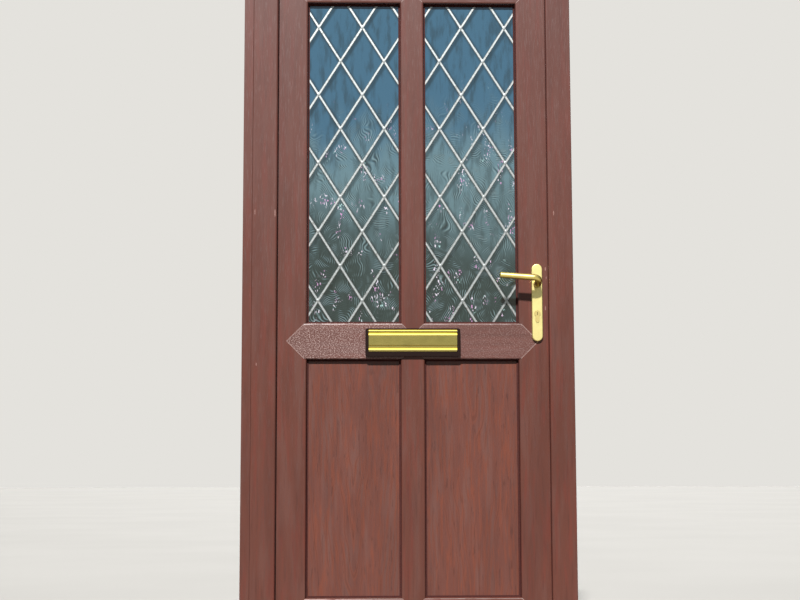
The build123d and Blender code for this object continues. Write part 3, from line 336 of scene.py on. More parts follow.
def rosewood(name, foil, tones, seed, across=False, figure=None, fleck=False):
    """PVC profile wrapped in a printed and embossed woodgrain foil. To the eye it is satin and red brown,
    with soft long streaks and fine dark pores along the profile. Darker red is painted shade wherever a face
    turns sideways or down, and a paler tone higher up is a painted sky sheen."""
    made, tree, shader = material(f"rosewood_foil_{name}")
    centre = (seed, seed / 3, seed / 2)
    ground, red, pale = tones
    vein = foil.vein

    def grain(width, length, low, high, most=1.0, aside=0.0):
        """Streaks of a width and a length in millimetres along the profile."""
        squeeze = width / length
        origin = tuple(part + aside for part in centre)
        flow = placed(tree, origin, scale=(squeeze, 1, 1) if across else (1, 1, squeeze))
        return blots(tree, flow, width * MM, low, high, most)

    # Streaks of the print: width and length in millimetres, the two levels of noise between which they
    # fade in, their greatest share, a shift that sets them apart, and their tone
    stroke = 16 if figure is None else 8
    streaks = [
        (24, 240, 0.44, 0.66, 0.80, 3.3, pale),
        (stroke, 11 * stroke, 0.48, 0.66, 0.80, 0.0, red),
        (50, 380, 0.42, 0.66, 0.22, 0.0, vein),
        (6, 100, 0.54, 0.70, 0.26, 0.0, vein),
    ]
    layers = [(grain(*size), tone) for *size, tone in streaks]
    # Pores are drawn 2.4 mm wide so that they show
    pores = grain(2.4, 34, 0.52, 0.68)
    if figure is not None:
        waves, fade = plain_sawn(tree, figure, centre)
        for low, high, most, tone in ((0.0, 0.7, 0.5, red), (0.80, 0.97, 0.28, vein)):
            arches = node(tree, "MapRange", {0: waves, 1: low, 2: high, 4: most}, **EASED)
            layers.append((node(tree, "Math", {0: arches, 1: fade}, operation="MULTIPLY"), tone))
        # Short dark smudges of the print, 7 mm wide
        layers.append((grain(7, 45, 0.60, 0.72, 0.4, 7.7), vein))
    layers.append((node(tree, "Math", {0: pores, 1: 0.16}, operation="MULTIPLY"), vein))
    if fleck:
        layers.append((painted_embossing_glints(tree, centre), foil.fleck))
    # Painted sky sheen: paler from 0.6 m over the ground upwards, and most of all above 1.4 m
    height = node(tree, "SeparateXYZ", {0: placed(tree)}, "Z")
    layers.append((node(tree, "MapRange", {0: height, 1: 0.6, 2: 1.4, 4: 0.3}, **EASED), foil.sky_sheen))
    # Painted shade, darker red on faces that turn sideways or down
    bend = node(tree, "MapRange", {0: turned_away(tree), 1: 0.45, 2: 0.9, 4: 0.6}, **EASED)
    layers.append((bend, foil.bend))
    plug(tree, shader, {
        "Base Color": tinted(tree, ground, *layers),
        "Roughness": node(tree, "Math", {0: pores, 1: 0.12, 2: 0.31}, operation="MULTIPLY_ADD"),
        "IOR": 1.5,
        "Normal": node(tree, "Bump", {"Height": pores, "Distance": 0.12 * MM, "Strength": 0.5}),
    })
    return made


def painted_lead_shadow(tree, crossing):
    """Painted shadow and reflection: a soft dark band beside each lead strip, where the lead's shadow and
    image would lie deeper in the sealed unit.
    """
    parts = placed(tree, crossing)
    aside = node(tree, "SeparateXYZ", {0: parts}, "X")
    height = node(tree, "SeparateXYZ", {0: parts}, "Z")
    columns = node(tree, "Math", {0: aside, 1: DIAMOND_WIDTH}, operation="DIVIDE")
    rows = node(tree, "Math", {0: height, 1: DIAMOND_HEIGHT}, operation="DIVIDE")
    bands = []
    for operation in ("ADD", "SUBTRACT"):
        along = node(tree, "Math", {0: columns, 1: rows}, operation=operation)
        bands.append(node(tree, "Math", {0: along, 1: 0.5}, operation="PINGPONG"))
    # In shares of a diamond: the band is full up to 0.03 from its middle and gone at 0.11
    near = node(tree, "Math", {0: bands[0], 1: bands[1]}, operation="MINIMUM")
    return node(tree, "MapRange", {0: near, 1: 0.11, 2: 0.03}, **EASED)


def combed_ripples(tree, flow, lower):
    """Ripples 5 mm apart, combed into locks of 55 mm that each lie their own way and bend a little. Gives
    the ripples and how lively they are: only in the lower glass, in patches, and calm where locks meet."""
    ripple_gap = 5 * MM
    lock_size = 55 * MM
    sway = (0.07, 0, 0.07)
    calm = 0.06
    swell = node(tree, "TexNoise", {"Vector": flow, "Scale": 1 / (70 * MM), "Detail": 1.0}, "Color")
    bend = node(tree, "VectorMath", {0: swell, 1: sway, 2: flow}, operation="MULTIPLY_ADD")
    lock = node(tree, "TexVoronoi", {"Vector": bend, "Scale": 1 / lock_size}, "Color")
    border = node(tree, "TexVoronoi", {"Vector": bend, "Scale": 1 / lock_size}, feature="DISTANCE_TO_EDGE")
    # Each lock's own number turns its ripples, from 17 degrees one way to 132 degrees the other
    number = node(tree, "SeparateXYZ", {0: lock}, "X")
    lie = node(tree, "Math", {0: number, 1: 2.6, 2: -0.3}, operation="MULTIPLY_ADD")
    comb = node(tree, "CombineXYZ", {"X": node(tree, "Math", {0: lie}, operation="SINE"),
                                     "Z": node(tree, "Math", {0: lie}, operation="COSINE")})
    travel = node(tree, "VectorMath", {0: bend, 1: comb}, "Value", operation="DOT_PRODUCT")
    phase = node(tree, "Math", {0: travel, 1: math.tau / ripple_gap}, operation="MULTIPLY")
    ripples = node(tree, "Math", {0: phase}, operation="SINE")
    inside = node(tree, "MapRange", {0: border, 1: 0.02, 2: 0.14}, **EASED)
    patches = blots(tree, flow, 45 * MM, 0.42, 0.58, 0.9)
    patches = node(tree, "Math", {0: patches, 1: inside}, operation="MULTIPLY")
    lively = node(tree, "Math", {0: patches, 1: calm}, operation="ADD")
    return ripples, node(tree, "Math", {0: lively, 1: lower}, operation="MULTIPLY")


def glints(tree, flow, lower, fitting):
    """Painted glints: small bright spots of light on the ripples of the lower glass, white, pink and green,
    gathered in a few clusters. They are drawn 4 mm wide and 8 mm long so that they show. Gives their share
    and colour."""
    leaning = placed(tree, turn=(0, math.radians(35), 0), scale=(1, 1, 0.5))
    spots = blots(tree, leaning, 4.2 * MM, 0.56, 0.66, detail=1.0)
    gathered = blots(tree, placed(tree, scale=(1, 1, 0.5)), 34 * MM, 0.59, 0.66, detail=1.0)
    share = node(tree, "Math", {0: spots, 1: gathered}, operation="MULTIPLY")
    share = node(tree, "Math", {0: share, 1: lower}, operation="MULTIPLY")
    colour = tinted(tree, fitting.glint,
                    (blots(tree, flow, 22 * MM, 0.52, 0.60, 0.8, 1.0), fitting.glint_pink),
                    (blots(tree, flow, 22 * MM, 0.40, 0.34, 0.8, 1.0), fitting.glint_green))
    return share, colour


def rippled_glass(name, crossing, fitting, strength=1.0):
    """Rolled obscure glass in a sealed unit. To the eye it is glossy, with fine ripples that lie in combed
    locks; a painted reflection of a pale sky fades down it into a deep grey green, which is the glass's own
    tint with a painted reflection of darker surroundings, and all the unit's faces mirror."""
    made, tree, shader = material(name)
    flow = placed(tree)
    height = node(tree, "SeparateXYZ", {0: flow}, "Z")
    # Painted reflection of the sky: the tones give way to each other by height in metres, which drifts with a
    # noise of 110 mm
    drift = node(tree, "TexNoise", cloud(placed(tree, scale=(1, 1, 0.5)), 110 * MM))
    level = node(tree, "Math", {0: drift, 1: 0.40, 2: height}, operation="MULTIPLY_ADD")
    lower = node(tree, "MapRange", {0: level, 1: 1.78, 2: 1.56}, **EASED)
    # Soft upright streaks in the depth of the glass, 14 mm wide
    depth = node(tree, "TexNoise", cloud(placed(tree, scale=(1, 1, 0.22)), 14 * MM, 3.0))
    ripples, lively = combed_ripples(tree, flow, lower)
    # Painted highlights on the ripples' crests and painted shade in their troughs
    crests = node(tree, "MapRange", {0: ripples, 1: 0.1, 2: 1.0, 4: 0.7}, **EASED)
    troughs = node(tree, "MapRange", {0: ripples, 1: 0.0, 2: -1.0, 4: 0.7}, **EASED)
    colour = tinted(
        tree, fitting.deep,
        (node(tree, "MapRange", {0: level, 1: 1.22, 2: 1.56}, **EASED), fitting.mist),
        (node(tree, "MapRange", {0: level, 1: 1.48, 2: 1.76}, **EASED), fitting.sky),
        (node(tree, "MapRange", {0: depth, 1: 0.44, 2: 0.70, 4: 0.5}, **EASED), fitting.smoke),
        (node(tree, "Math", {0: crests, 1: lively}, operation="MULTIPLY"), fitting.ripple),
        (node(tree, "Math", {0: troughs, 1: lively}, operation="MULTIPLY"), fitting.trough),
        (node(tree, "Math", {0: painted_lead_shadow(tree, crossing), 1: 0.6 * strength}, operation="MULTIPLY"),
         fitting.image),
        glints(tree, flow, lower, fitting),
    )
    relief = node(tree, "Math", {0: ripples, 1: lively, 2: depth}, operation="MULTIPLY_ADD")
    plug(tree, shader, {
        "Base Color": colour,
        "Roughness": 0.06,
        "IOR": 1.52,
        "Specular IOR Level": 1.0,
        "Coat Weight": 1.0,
        "Coat Roughness": 0.03,
        "Normal": node(tree, "Bump", {"Height": relief, "Distance": 0.12 * MM, "Strength": 0.8}),
    })
    return made


def metal(name, colour, patina, share, size, roughness, metallic=1.0, relief=0.05 * MM, underside_shade=None):
    """A metal with a faint patina that also breaks up its polish, and painted shade on faces that turn
    sideways or down.
    """
    made, tree, shader = material(name)
    film = node(tree, "TexNoise", cloud(placed(tree), size, 3.0))
    layers = [(node(tree, "MapRange", {0: film, 1: 0.45, 2: 0.75, 4: share}, **EASED), patina)]
    if underside_shade is not None:
        shaded = node(tree, "MapRange", {0: turned_away(tree), 1: 0.3, 2: 0.95, 4: 0.85}, **EASED)
        layers.append((shaded, underside_shade))
    plug(tree, shader, {
        "Base Color": tinted(tree, colour, *layers),
        "Roughness": node(tree, "Math", {0: film, 1: 0.12, 2: roughness - 0.06}, operation="MULTIPLY_ADD"),
        "Metallic": metallic,
        "Normal": node(tree, "Bump", {"Height": film, "Distance": relief, "Strength": 0.5}),
    })
    return made


def fluted_gold(name, colour, patina, slope, dull, dull_height):
    """Bright gold anodised flap. To the eye its flat middle mirrors the ground as olive; the slopes that look
    up at the sky are brushed and get a painted deeper gold, so that their highlight glows yellow, and the
    upper part of the top one has a painted olive shade."""
    made, tree, shader = material(name)
    film = node(tree, "TexNoise", cloud(placed(tree), 30 * MM, 3.0))
    rise = node(tree, "SeparateXYZ", {0: node(tree, "TexCoord", output="Normal")}, "Z")
    up = node(tree, "MapRange", {0: rise, 1: 0.1, 2: 0.25}, **EASED)
    height = node(tree, "SeparateXYZ", {0: placed(tree, (0, 0, dull_height))}, "Z")
    gap = node(tree, "Math", {0: height}, operation="ABSOLUTE")
    colour = tinted(
        tree, colour,
        (node(tree, "MapRange", {0: film, 1: 0.45, 2: 0.75, 4: 0.3}, **EASED), patina),
        (up, slope),
        (node(tree, "MapRange", {0: gap, 1: 2.6 * MM, 2: 1.6 * MM, 4: 0.95}, **EASED), dull),
    )
    polish = node(tree, "Math", {0: film, 1: 0.12, 2: 0.18}, operation="MULTIPLY_ADD")
    plug(tree, shader, {
        "Base Color": colour,
        "Roughness": node(tree, "Math", {0: up, 1: 0.3, 2: polish}, operation="MULTIPLY_ADD"),
        "Metallic": 1.0,
        "Normal": node(tree, "Bump", {"Height": film, "Distance": 0.05 * MM, "Strength": 0.5}),
    })
    return made


def moulded(name, colour, second, size, roughness, sheen=0.5, ior=1.5):
    """Moulded plastic or rubber with a fine skin of a second tone."""
    made, tree, shader = material(name)
    skin = node(tree, "TexNoise", cloud(placed(tree), size))
    share = node(tree, "MapRange", {0: skin, 1: 0.3, 2: 0.8}, **EASED)
    plug(tree, shader, {
        "Base Color": tinted(tree, colour, (share, second)),
        "Roughness": node(tree, "Math", {0: skin, 1: 0.1, 2: roughness}, operation="MULTIPLY_ADD"),
        "IOR": ior,
        "Specular IOR Level": sheen,
        "Normal": node(tree, "Bump", {"Height": skin, "Distance": 0.05 * MM, "Strength": 0.5}),
    })
    return made


def mottled(name, colour, second, size, roughness, metallic=0.0, detail=2.0):
    """A flat matt surface with mottles of a second tone."""
    made, tree, shader = material(name)
    mottles = blots(tree, placed(tree), size, 0.3, 0.7, detail=detail)
    plug(tree, shader, {
        "Base Color": tinted(tree, colour, (mottles, second)),
        "Roughness": roughness,
        "Metallic": metallic,
    })
    return made


def added(name, data):
    """Puts a mesh, a lamp or a camera into the scene as an object."""
    item = bpy.data.objects.new(name, data)
    bpy.context.scene.collection.objects.link(item)
    return item


def meshed(name, mesh, made):
    """Turns a bmesh into an object of one material."""
    data = bpy.data.meshes.new(name)
    mesh.to_mesh(data)
    mesh.free()
    data.materials.append(made)
    return added(name, data)


def piece(name, mesh, made, body):
    """Turns a bmesh into a finished object that rides on a body."""
    bmesh.ops.recalc_face_normals(mesh, faces=mesh.faces)
    item = meshed(name, mesh, made)
    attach(item, body)


def dab(mesh, place, size, subdivisions):
    """A low rounded dab of a half width, a half depth and a half height."""
    shape = Matrix.Translation(place) @ Matrix.Diagonal((*size, 1))
    bmesh.ops.create_icosphere(mesh, subdivisions=subdivisions, radius=1, matrix=shape)


def strip(mesh, line, face, outward, width, proud):
    """A low flat ridge along a joint, half sunk in its face, that dips over rounded edges at its ends."""
    ends, rounding = line
    start, end = (Vector((x, face, z)) for x, z in ends)
    length = (end - start).length
    along = (end - start) / length
    across = along.cross(Vector((0, 1, 0)))
    basis = Matrix((along, across, along.cross(across))).transposed().to_4x4()
    place = Matrix.Translation((start + end) / 2) @ basis @ Matrix.Diagonal((length, width, 1, 1))
    steps = math.ceil(length / SEAM_STEP)
    ribbon = bmesh.ops.create_grid(mesh, x_segments=steps, y_segments=1, size=0.5, matrix=place)["verts"]
    for vert in ribbon:
        travel = (vert.co - start).dot(along)
        for radius, gone in zip(rounding, (travel, length - travel)):
            inset = min(max(radius - gone / math.sqrt(2), 0), radius)
            vert.co.y -= outward * (radius - math.sqrt(radius ** 2 - inset ** 2))
        vert.co.y += outward * proud
    quads = list(dict.fromkeys(quad for vert in ribbon for quad in vert.link_faces))
    raised = bmesh.ops.extrude_face_region(mesh, geom=quads)["geom"]
    sunk = [item for item in raised if isinstance(item, bmesh.types.BMVert)]
    bmesh.ops.translate(mesh, vec=(0, -2 * outward * proud, 0), verts=sunk)


def trimmed(start, end, before=0.0, rounding=(0.0, 0.0)):
    """A stretch shortened at its start, with the rounding of the edge at each of its ends."""
    a, b = Vector(start), Vector(end)
    return (tuple(a + (b - a).normalized() * before), tuple(b)), rounding


def arrow(tip, half, reach, before, rounding):
    """The two joints of a pointed end: from its shoulders to its tip."""
    (x, z), (dx, dz) = tip, reach
    side = (0, half) if dx else (half, 0)
    shoulders = [(x + dx + sign * side[0], z + dz + sign * side[1]) for sign in (-1, 1)]
    return [trimmed(shoulder, tip, before, (rounding, 0)) for shoulder in shoulders]


def ring_of(left_piece, right_piece):
    """Left, right, foot and head of a ring of profile, and the width of its left piece."""
    low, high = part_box(left_piece)
    return (low.x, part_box(right_piece)[1].x, low.z, high.z), high.x - low.x


def corners(box, width, start, rounding):
    """The mitred joints at the four corners of a ring of profile."""
    left, right, foot, head = box
    return [trimmed((x + sx * start, z + sz * start), (x + sx * width, z + sz * width), rounding=rounding)
            for x, sx in ((left, 1), (right, -1)) for z, sz in ((foot, 1), (head, -1))]


def crossings(first, limits):
    """Every crossing of the lead in one light that shows between the profiles."""
    left, right = limits[0] + LEAD_MARGIN, limits[1] - LEAD_MARGIN
    foot, head = MIDRAIL_TOP + LEAD_MARGIN, LIGHT_HEAD - LEAD_MARGIN
    found = []
    for half in (0, 0.5):
        for row in LATTICE_ROWS:
            for column in LATTICE_COLUMNS:
                x = first + (column + half) * DIAMOND_WIDTH
                z = LIGHT_HEAD - CROSSING_DROP - (row + half) * DIAMOND_HEIGHT
                if left < x < right and foot < z < head:
                    found.append((x, z))
    return found


def head_centres(item, face):
    """Centre and radius of each screw head, found from the vertices on the heads' outer face."""
    points = [vert.co for vert in item.data.vertices if abs(vert.co.y - face) < HEAD_FLATNESS]
    heads = []
    for point in points:
        for group in heads:
            if (group[0] - point).length < SCREWS_APART:
                group.append(point)
                break
        else:
            heads.append([point])
    found = []
    for group in heads:
        low = Vector(min(point[i] for point in group) for i in range(3))
        high = Vector(max(point[i] for point in group) for i in range(3))
        found.append(((low + high) / 2, (high.x - low.x) / 2))
    return found


def lamp(name, power, spread, place, aim):
    """A sun lamp turned to a point."""
    data = bpy.data.lights.new(name, "SUN")
    data.energy = power
    data.angle = spread
    item = added(name, data)
    item.location = place
    item.rotation_euler = (place - aim).to_track_quat("Z", "Y").to_euler()


def surroundings(scene, studio):
    """Pale behind the door; around it a soft blue overhead that falls off to a muted horizon."""
    world = bpy.data.worlds.new("studio")
    scene.world = world
    world.use_nodes = True
    tree = world.node_tree
    back = tree.nodes["Background"]
    plug(tree, back, {"Color": studio.backdrop})
    direction = node(tree, "TexCoord", output="Generated")
    height = node(tree, "SeparateXYZ", {0: direction}, "Z")
    colour = tinted(tree, studio.horizon,
                    (node(tree, "MapRange", {0: height, 1: 0.12, 2: 0.26}, **EASED), studio.sky_low),
                    (node(tree, "MapRange", {0: height, 1: 0.3, 2: 0.8}, **EASED), studio.sky_high))
    glossy = node(tree, "LightPath", output="Is Glossy Ray")
    strength = node(tree, "MapRange", {0: glossy, 3: studio.shade, 4: studio.sky})
    soft = node(tree, "Background", {"Color": colour, "Strength": strength})
    seen = node(tree, "LightPath", output="Is Camera Ray")
    both = node(tree, "MixShader", {0: seen, 1: soft, 2: back.outputs["Background"]})
    plug(tree, tree.nodes["World Output"], {"Surface": both})


class DOOR_OT_foil(bpy.types.Operator):
    """Wrap the frame, the leaf and the panels in woodgrain foil, with the grain along each profile"""
    bl_idname = "door.foil"
    bl_label = "Woodgrain foil"

    def execute(self, context):
        foil = context.scene.door_foil
        stile = (foil.stile, foil.stile_red, foil.stile_pale)
        panel = (foil.panel, foil.panel_red, foil.panel_pale)
        midrail = (foil.midrail, foil.midrail_red, foil.midrail_pale)
        # Each profile has a number of its own, so that its grain starts at another place
        upright = {
            "frame_hinge_jamb": 0.31,
            "frame_lock_jamb": 1.72,
            "frame_extension": 3.43,
            "hinge_stile": 5.11,
            "lock_stile": 6.92,
            "upper_mullion": 8.57,
            "lower_mullion": 9.74,
        }
        level = {
            "frame_head": 0.83,
            "frame_threshold": 2.37,
            "sill": 4.19,
            "top_rail": 5.63,
            "bottom_rail": 7.27,
        }
        boards = {"panel_left": 0.53, "panel_right": 1.19}
        for name, seed in upright.items():
            coat([name], rosewood(name, foil, stile, seed))
        for name, seed in level.items():
            coat([name], rosewood(name, foil, stile, seed, across=True))
        coat(["midrail"], rosewood("midrail", foil, midrail, 6.41, across=True, fleck=True))
        for name, seed in boards.items():
            low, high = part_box(name)
            middle = ((low.x + high.x) / 2, low.y, low.z)
            coat([name], rosewood(name, foil, panel, seed, figure=middle))
        return {"FINISHED"}


class DOOR_OT_glass(bpy.types.Operator):
    """Give the sealed units their rippled outer and inner panes, the inner ones with a fainter painted shadow
    of the lead
    """
    bl_idname = "door.glass"
    bl_label = "Rippled glass"

    def execute(self, context):
        fitting = context.scene.door_fitting
        # Share of the painted shadow and image of the lead that shows in the inner pane
        faint = 0.4
        columns = {"left": LIGHT_LEFT + CROSSING_INSET, "right": LIGHT_RIGHT - CROSSING_INSET}
        for side, x in columns.items():
            crossing = (x + IMAGE_ASIDE, 0, LIGHT_HEAD - CROSSING_DROP - IMAGE_DROP)
            outer = rippled_glass(f"rippled_glass_{side}", crossing, fitting)
            inner = rippled_glass(f"rippled_glass_inner_{side}", crossing, fitting, faint)
            coat([f"outer_pane_{side}"], outer)
            coat([f"inner_pane_{side}"], inner)
        # Roll-formed aluminium spacer: plain bright grey
        spacer = metal("mill_aluminium", linear("#b8babb"), patina=linear("#8f9294"), share=0.3,
                       size=12 * MM, roughness=0.35)
        coat(["spacer_left", "spacer_right"], spacer)
        return {"FINISHED"}


class DOOR_OT_lead(bpy.types.Operator):
    """Finish the lead strips, and dab solder over their crossings"""
    bl_idname = "door.lead"
    bl_label = "Lead strips"

    def execute(self, context):
        fitting = context.scene.door_fitting
        # Drawn lead strip, weathered: soft grey with dull blots, and painted shade on its lower slopes and
        # sides
        strips = metal("drawn_lead", fitting.lead, patina=linear("#7f7f79"), share=0.8, size=7 * MM,
                       roughness=0.38, metallic=0.8, relief=0.25 * MM, underside_shade=linear("#83837d"))
        coat(["lead_outside", "lead_inside"], strips)
        # Solder dabbed over each crossing: smoother than the lead
        solder = metal("dabbed_solder", linear("#9fa2a0"), patina=linear("#8a8a84"), share=0.6,
                       size=5 * MM, roughness=0.4, metallic=0.8, relief=0.15 * MM)
        size = (fitting.dab, 0.5 * MM, 1.2 * fitting.dab)
        low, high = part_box("lead_outside")[0].y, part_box("lead_inside")[1].y
        lights = {
            LIGHT_LEFT + CROSSING_INSET: (LIGHT_LEFT, MULLION_LEFT),
            LIGHT_RIGHT - CROSSING_INSET: (MULLION_RIGHT, LIGHT_RIGHT),
        }
        for side, face in (("outside", low), ("inside", high)):
            mesh = bmesh.new()
            for first, limits in lights.items():
                for x, z in crossings(first, limits):
                    dab(mesh, (x, face, z), size, subdivisions=3)
            piece(f"solder_{side}", mesh, solder, BODY_LEAF)
        return {"FINISHED"}


class DOOR_OT_gold(bpy.types.Operator):
    """Finish the handles, the cylinder and the letterplate flaps in gold"""
    bl_idname = "door.gold"
    bl_label = "Gold fittings"

    def execute(self, context):
        # Satin gold anodised aluminium: pale yellow and bright, without a clear reflection
        satin = metal("satin_gold_anodising", context.scene.door_fitting.gold, patina=linear("#efd891"),
                      share=0.3, size=20 * MM, roughness=0.43)
        coat(["handle_plate_outside", "handle_plate_inside"], satin)
        # Polished gold anodised aluminium, handled: bright on top, with painted olive shade underneath
        polished = metal("polished_gold_anodising", linear("#fde486"), patina=linear("#e9cd72"), share=0.3,
                         size=20 * MM, roughness=0.36, underside_shade=linear("#75641f"))
        coat(["lever_outside", "lever_inside"], polished)
        # Turned brass with fine tool marks: a shade duller than the plate
        brass = metal("turned_brass", linear("#e9d288"), patina=linear("#cdb26c"), share=0.4, size=6 * MM,
                      roughness=0.38)
        coat(["cylinder_body", "cylinder_plug"], brass)
        # Bright gold anodised moulding: mirrors the ground as olive, with painted gold on its up-facing
        # slopes and painted olive shade near its top
        for name in ("letterplate_flap", "letterplate_inner_flap"):
            bright = fluted_gold(f"bright_gold_anodising_{name}", linear("#d6c573"),
                                 patina=linear("#c4b164"), slope=linear("#cfb352"), dull=linear("#5d4f14"),
                                 dull_height=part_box(name)[1].z - FLAP_DULL)
            coat([name], bright)
        return {"FINISHED"}


class DOOR_OT_ironmongery(bpy.types.Operator):
    """Finish the hinges, the lock, the keeps, the steels and the screws"""
    bl_idname = "door.ironmongery"
    bl_label = "Ironmongery"

    def execute(self, context):
        # Zinc-plated steel: cool grey and bright, with a faint yellow passivation
        zinc = metal("zinc_plated_steel", context.scene.door_fitting.steel, patina=linear("#b9b49a"),
                     share=0.35, size=10 * MM, roughness=0.34)
        coat(["lock_faceplate", "lock_case", "latch_bolt", "deadbolt", "drive_rods", "lock_keep",
              "stud_keeps", "spindle", "lock_follower", "hinge_pins", "hinge_frame_screws",
              "hinge_leaf_screws", "handle_screws", "letterplate_screws", "flap_pins"], zinc)
        # Hot-dip galvanised strip: dull grey with pale spangles
        spangled = metal("galvanised_steel", linear("#a3a8aa"), patina=linear("#c3c8c9"), share=0.6,
                         size=8 * MM, roughness=0.45)
        coat(["frame_steels", "leaf_steels"], spangled)
        # Gold anodised hinge plates: deeper gold than the handles
        coated = metal("gold_anodised_steel", linear("#cfae52"), patina=linear("#b9984a"), share=0.3,
                       size=18 * MM, roughness=0.3)
        coat(["hinge_frame_plates", "hinge_leaf_plates"], coated)
        return {"FINISHED"}


class DOOR_OT_trim(bpy.types.Operator):
    """Finish the beads, seals, packers and the letterplate's black mouldings"""
    bl_idname = "door.trim"
    bl_label = "Seals and trim"

    def execute(self, context):
        foil = context.scene.door_foil
        stile = (foil.stile, foil.stile_red, foil.stile_pale)
        coat(["glass_beads", "panel_beads"], rosewood("beads", foil, stile, 2.9))
        rubber = {"size": 3 * MM, "roughness": 0.7, "sheen": 0.2, "ior": 1.52}
        # Extruded rubber seal in red brown: matt and slightly dusty
        loose = moulded("brown_rubber_seal", linear("#6b2f28"), linear("#7c3a32"), **rubber)
        coat(["frame_gasket", "leaf_gasket"], loose)
        # The same rubber in a darker red brown where it presses against the glass
        pressed = moulded("dark_brown_rubber_seal", linear("#43211d"), linear("#552a25"), **rubber)
        coat(["glazing_gaskets"], pressed)
        # Injection-moulded black nylon: near black with a fine skin
        nylon = moulded("black_moulded_nylon", linear("#1f120f"), linear("#291915"), size=2 * MM,
                        roughness=0.6, sheen=0.1)
        coat(["letterplate_surround", "letterplate_inner_frame", "letterplate_sleeve"], nylon)
        # Moulded packers: plain dull blue
        packer = moulded("blue_packer_plastic", linear("#44507e"), linear("#3a4570"), size=4 * MM,
                         roughness=0.5)
        coat(["glazing_packers"], packer)
        return {"FINISHED"}


class DOOR_OT_seams(bpy.types.Operator):
    """Lay the trimmed welds where the profiles meet, on both faces of the leaf and the frame"""
    bl_idname = "door.seams"
    bl_label = "Weld seams"

    def execute(self, context):
        seam = context.scene.door_seam
        # Trimmed PVC weld: the skin is knifed off, which leaves a pale, matt, slightly raised line
        weld = mottled("trimmed_pvc_weld", context.scene.door_foil.seam, linear("#8d6a62"), size=5 * MM,
                       roughness=0.5, detail=3.0)
        rail_half = (MIDRAIL_TOP - MIDRAIL_FOOT) / 2
        rail_mid = (MIDRAIL_TOP + MIDRAIL_FOOT) / 2
        post_half = (MULLION_RIGHT - MULLION_LEFT) / 2
        post_mid = (MULLION_RIGHT + MULLION_LEFT) / 2
        left_tip, right_tip = (corner.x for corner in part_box("midrail"))
        plate_foot, plate_top = (corner.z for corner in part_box("letterplate_surround"))
        sash_box, sash_width = ring_of("hinge_stile", "lock_stile")
        frame_box, frame_width = ring_of("frame_hinge_jamb", "frame_lock_jamb")
        lines = {BODY_LEAF: [], BODY_FRAME: []}
        for face, outward, cut, dip in ((LEAF_OUTSIDE, -1, 0.0, NIB_ROUNDING), (LEAF_INSIDE, 1, NIB, 0.0)):
            rail, post = rail_half - cut, post_half - cut
            start = NIB if outward < 0 else ARRIS_ROUNDING
            leaf = corners(sash_box, sash_width - cut, start, (0.0, dip))
            leaf += arrow((left_tip, rail_mid), rail, (rail, 0), seam.margin, 0.0)
            leaf += arrow((right_tip, rail_mid), rail, (-rail, 0), seam.margin, 0.0)
            leaf += arrow((post_mid, LIGHT_HEAD + post_half), post, (0, -post), 0.0, dip)
            leaf += arrow((post_mid, LIGHT_FOOT - post_half), post, (0, post), 0.0, dip)
            if outward < 0:
                # Mullion ends beside the letterplate, which covers their tips
                for edge, cover in ((MIDRAIL_TOP, plate_top), (MIDRAIL_FOOT, plate_foot)):
                    inset = abs(edge - cover)
                    for side in (-1, 1):
                        shoulder = (post_mid + side * post, edge)
                        covered = (post_mid + side * (post - inset), cover)
                        leaf.append(trimmed(shoulder, covered, rounding=(dip, 0.0)))
            lines[BODY_LEAF] += [(line, face, outward) for line in leaf]
        for face, outward, width, dip in ((FRAME_OUTSIDE, -1, frame_width, NIB_ROUNDING),
                                          (FRAME_INSIDE, 1, frame_width - NIB, ARRIS_ROUNDING)):
            ring = corners(frame_box, width, ARRIS_ROUNDING, (0.0, dip))
            lines[BODY_FRAME] += [(line, face, outward) for line in ring]
        for body, found in lines.items():
            mesh = bmesh.new()
            for line, face, outward in found:
                strip(mesh, line, face, outward, seam.width, seam.proud)
            piece(f"weld_seams_{body}", mesh, weld, body)
        return {"FINISHED"}


class DOOR_OT_scuffs(bpy.types.Operator):
    """Lay the few small rubbed marks that show on the jambs and the lock stile"""
    bl_idname = "door.scuffs"
    bl_label = "Rubbed marks"

    def execute(self, context):
        # Foil rubbed through its print: paler, greyer and quite matt
        rubbed = mottled("rubbed_rosewood_foil", linear("#a98379"), linear("#85594f"), size=3 * MM,
                         roughness=0.6)
        height = 0.12 * MM
        # Sideways place, height, half width and half height of each mark, in millimetres
        marks = {
            BODY_FRAME: (FRAME_OUTSIDE, ((-414, 805, 1.4, 4), (-421, 1224, 1.2, 8), (-366, 1221, 1.6, 11),
                                         (402, 1223, 1.4, 7))),
            BODY_LEAF: (LEAF_OUTSIDE, ((379.5, 1070, 1.4, 5), (381.5, 1045, 1.2, 4), (378.5, 961, 1.4, 6))),
        }
        for body, (face, places) in marks.items():
            mesh = bmesh.new()
            for x, z, wide, tall in places:
                dab(mesh, (x * MM, face, z * MM), (wide * MM, height, tall * MM), subdivisions=2)
            piece(f"rubbed_marks_{body}", mesh, rubbed, body)
        return {"FINISHED"}


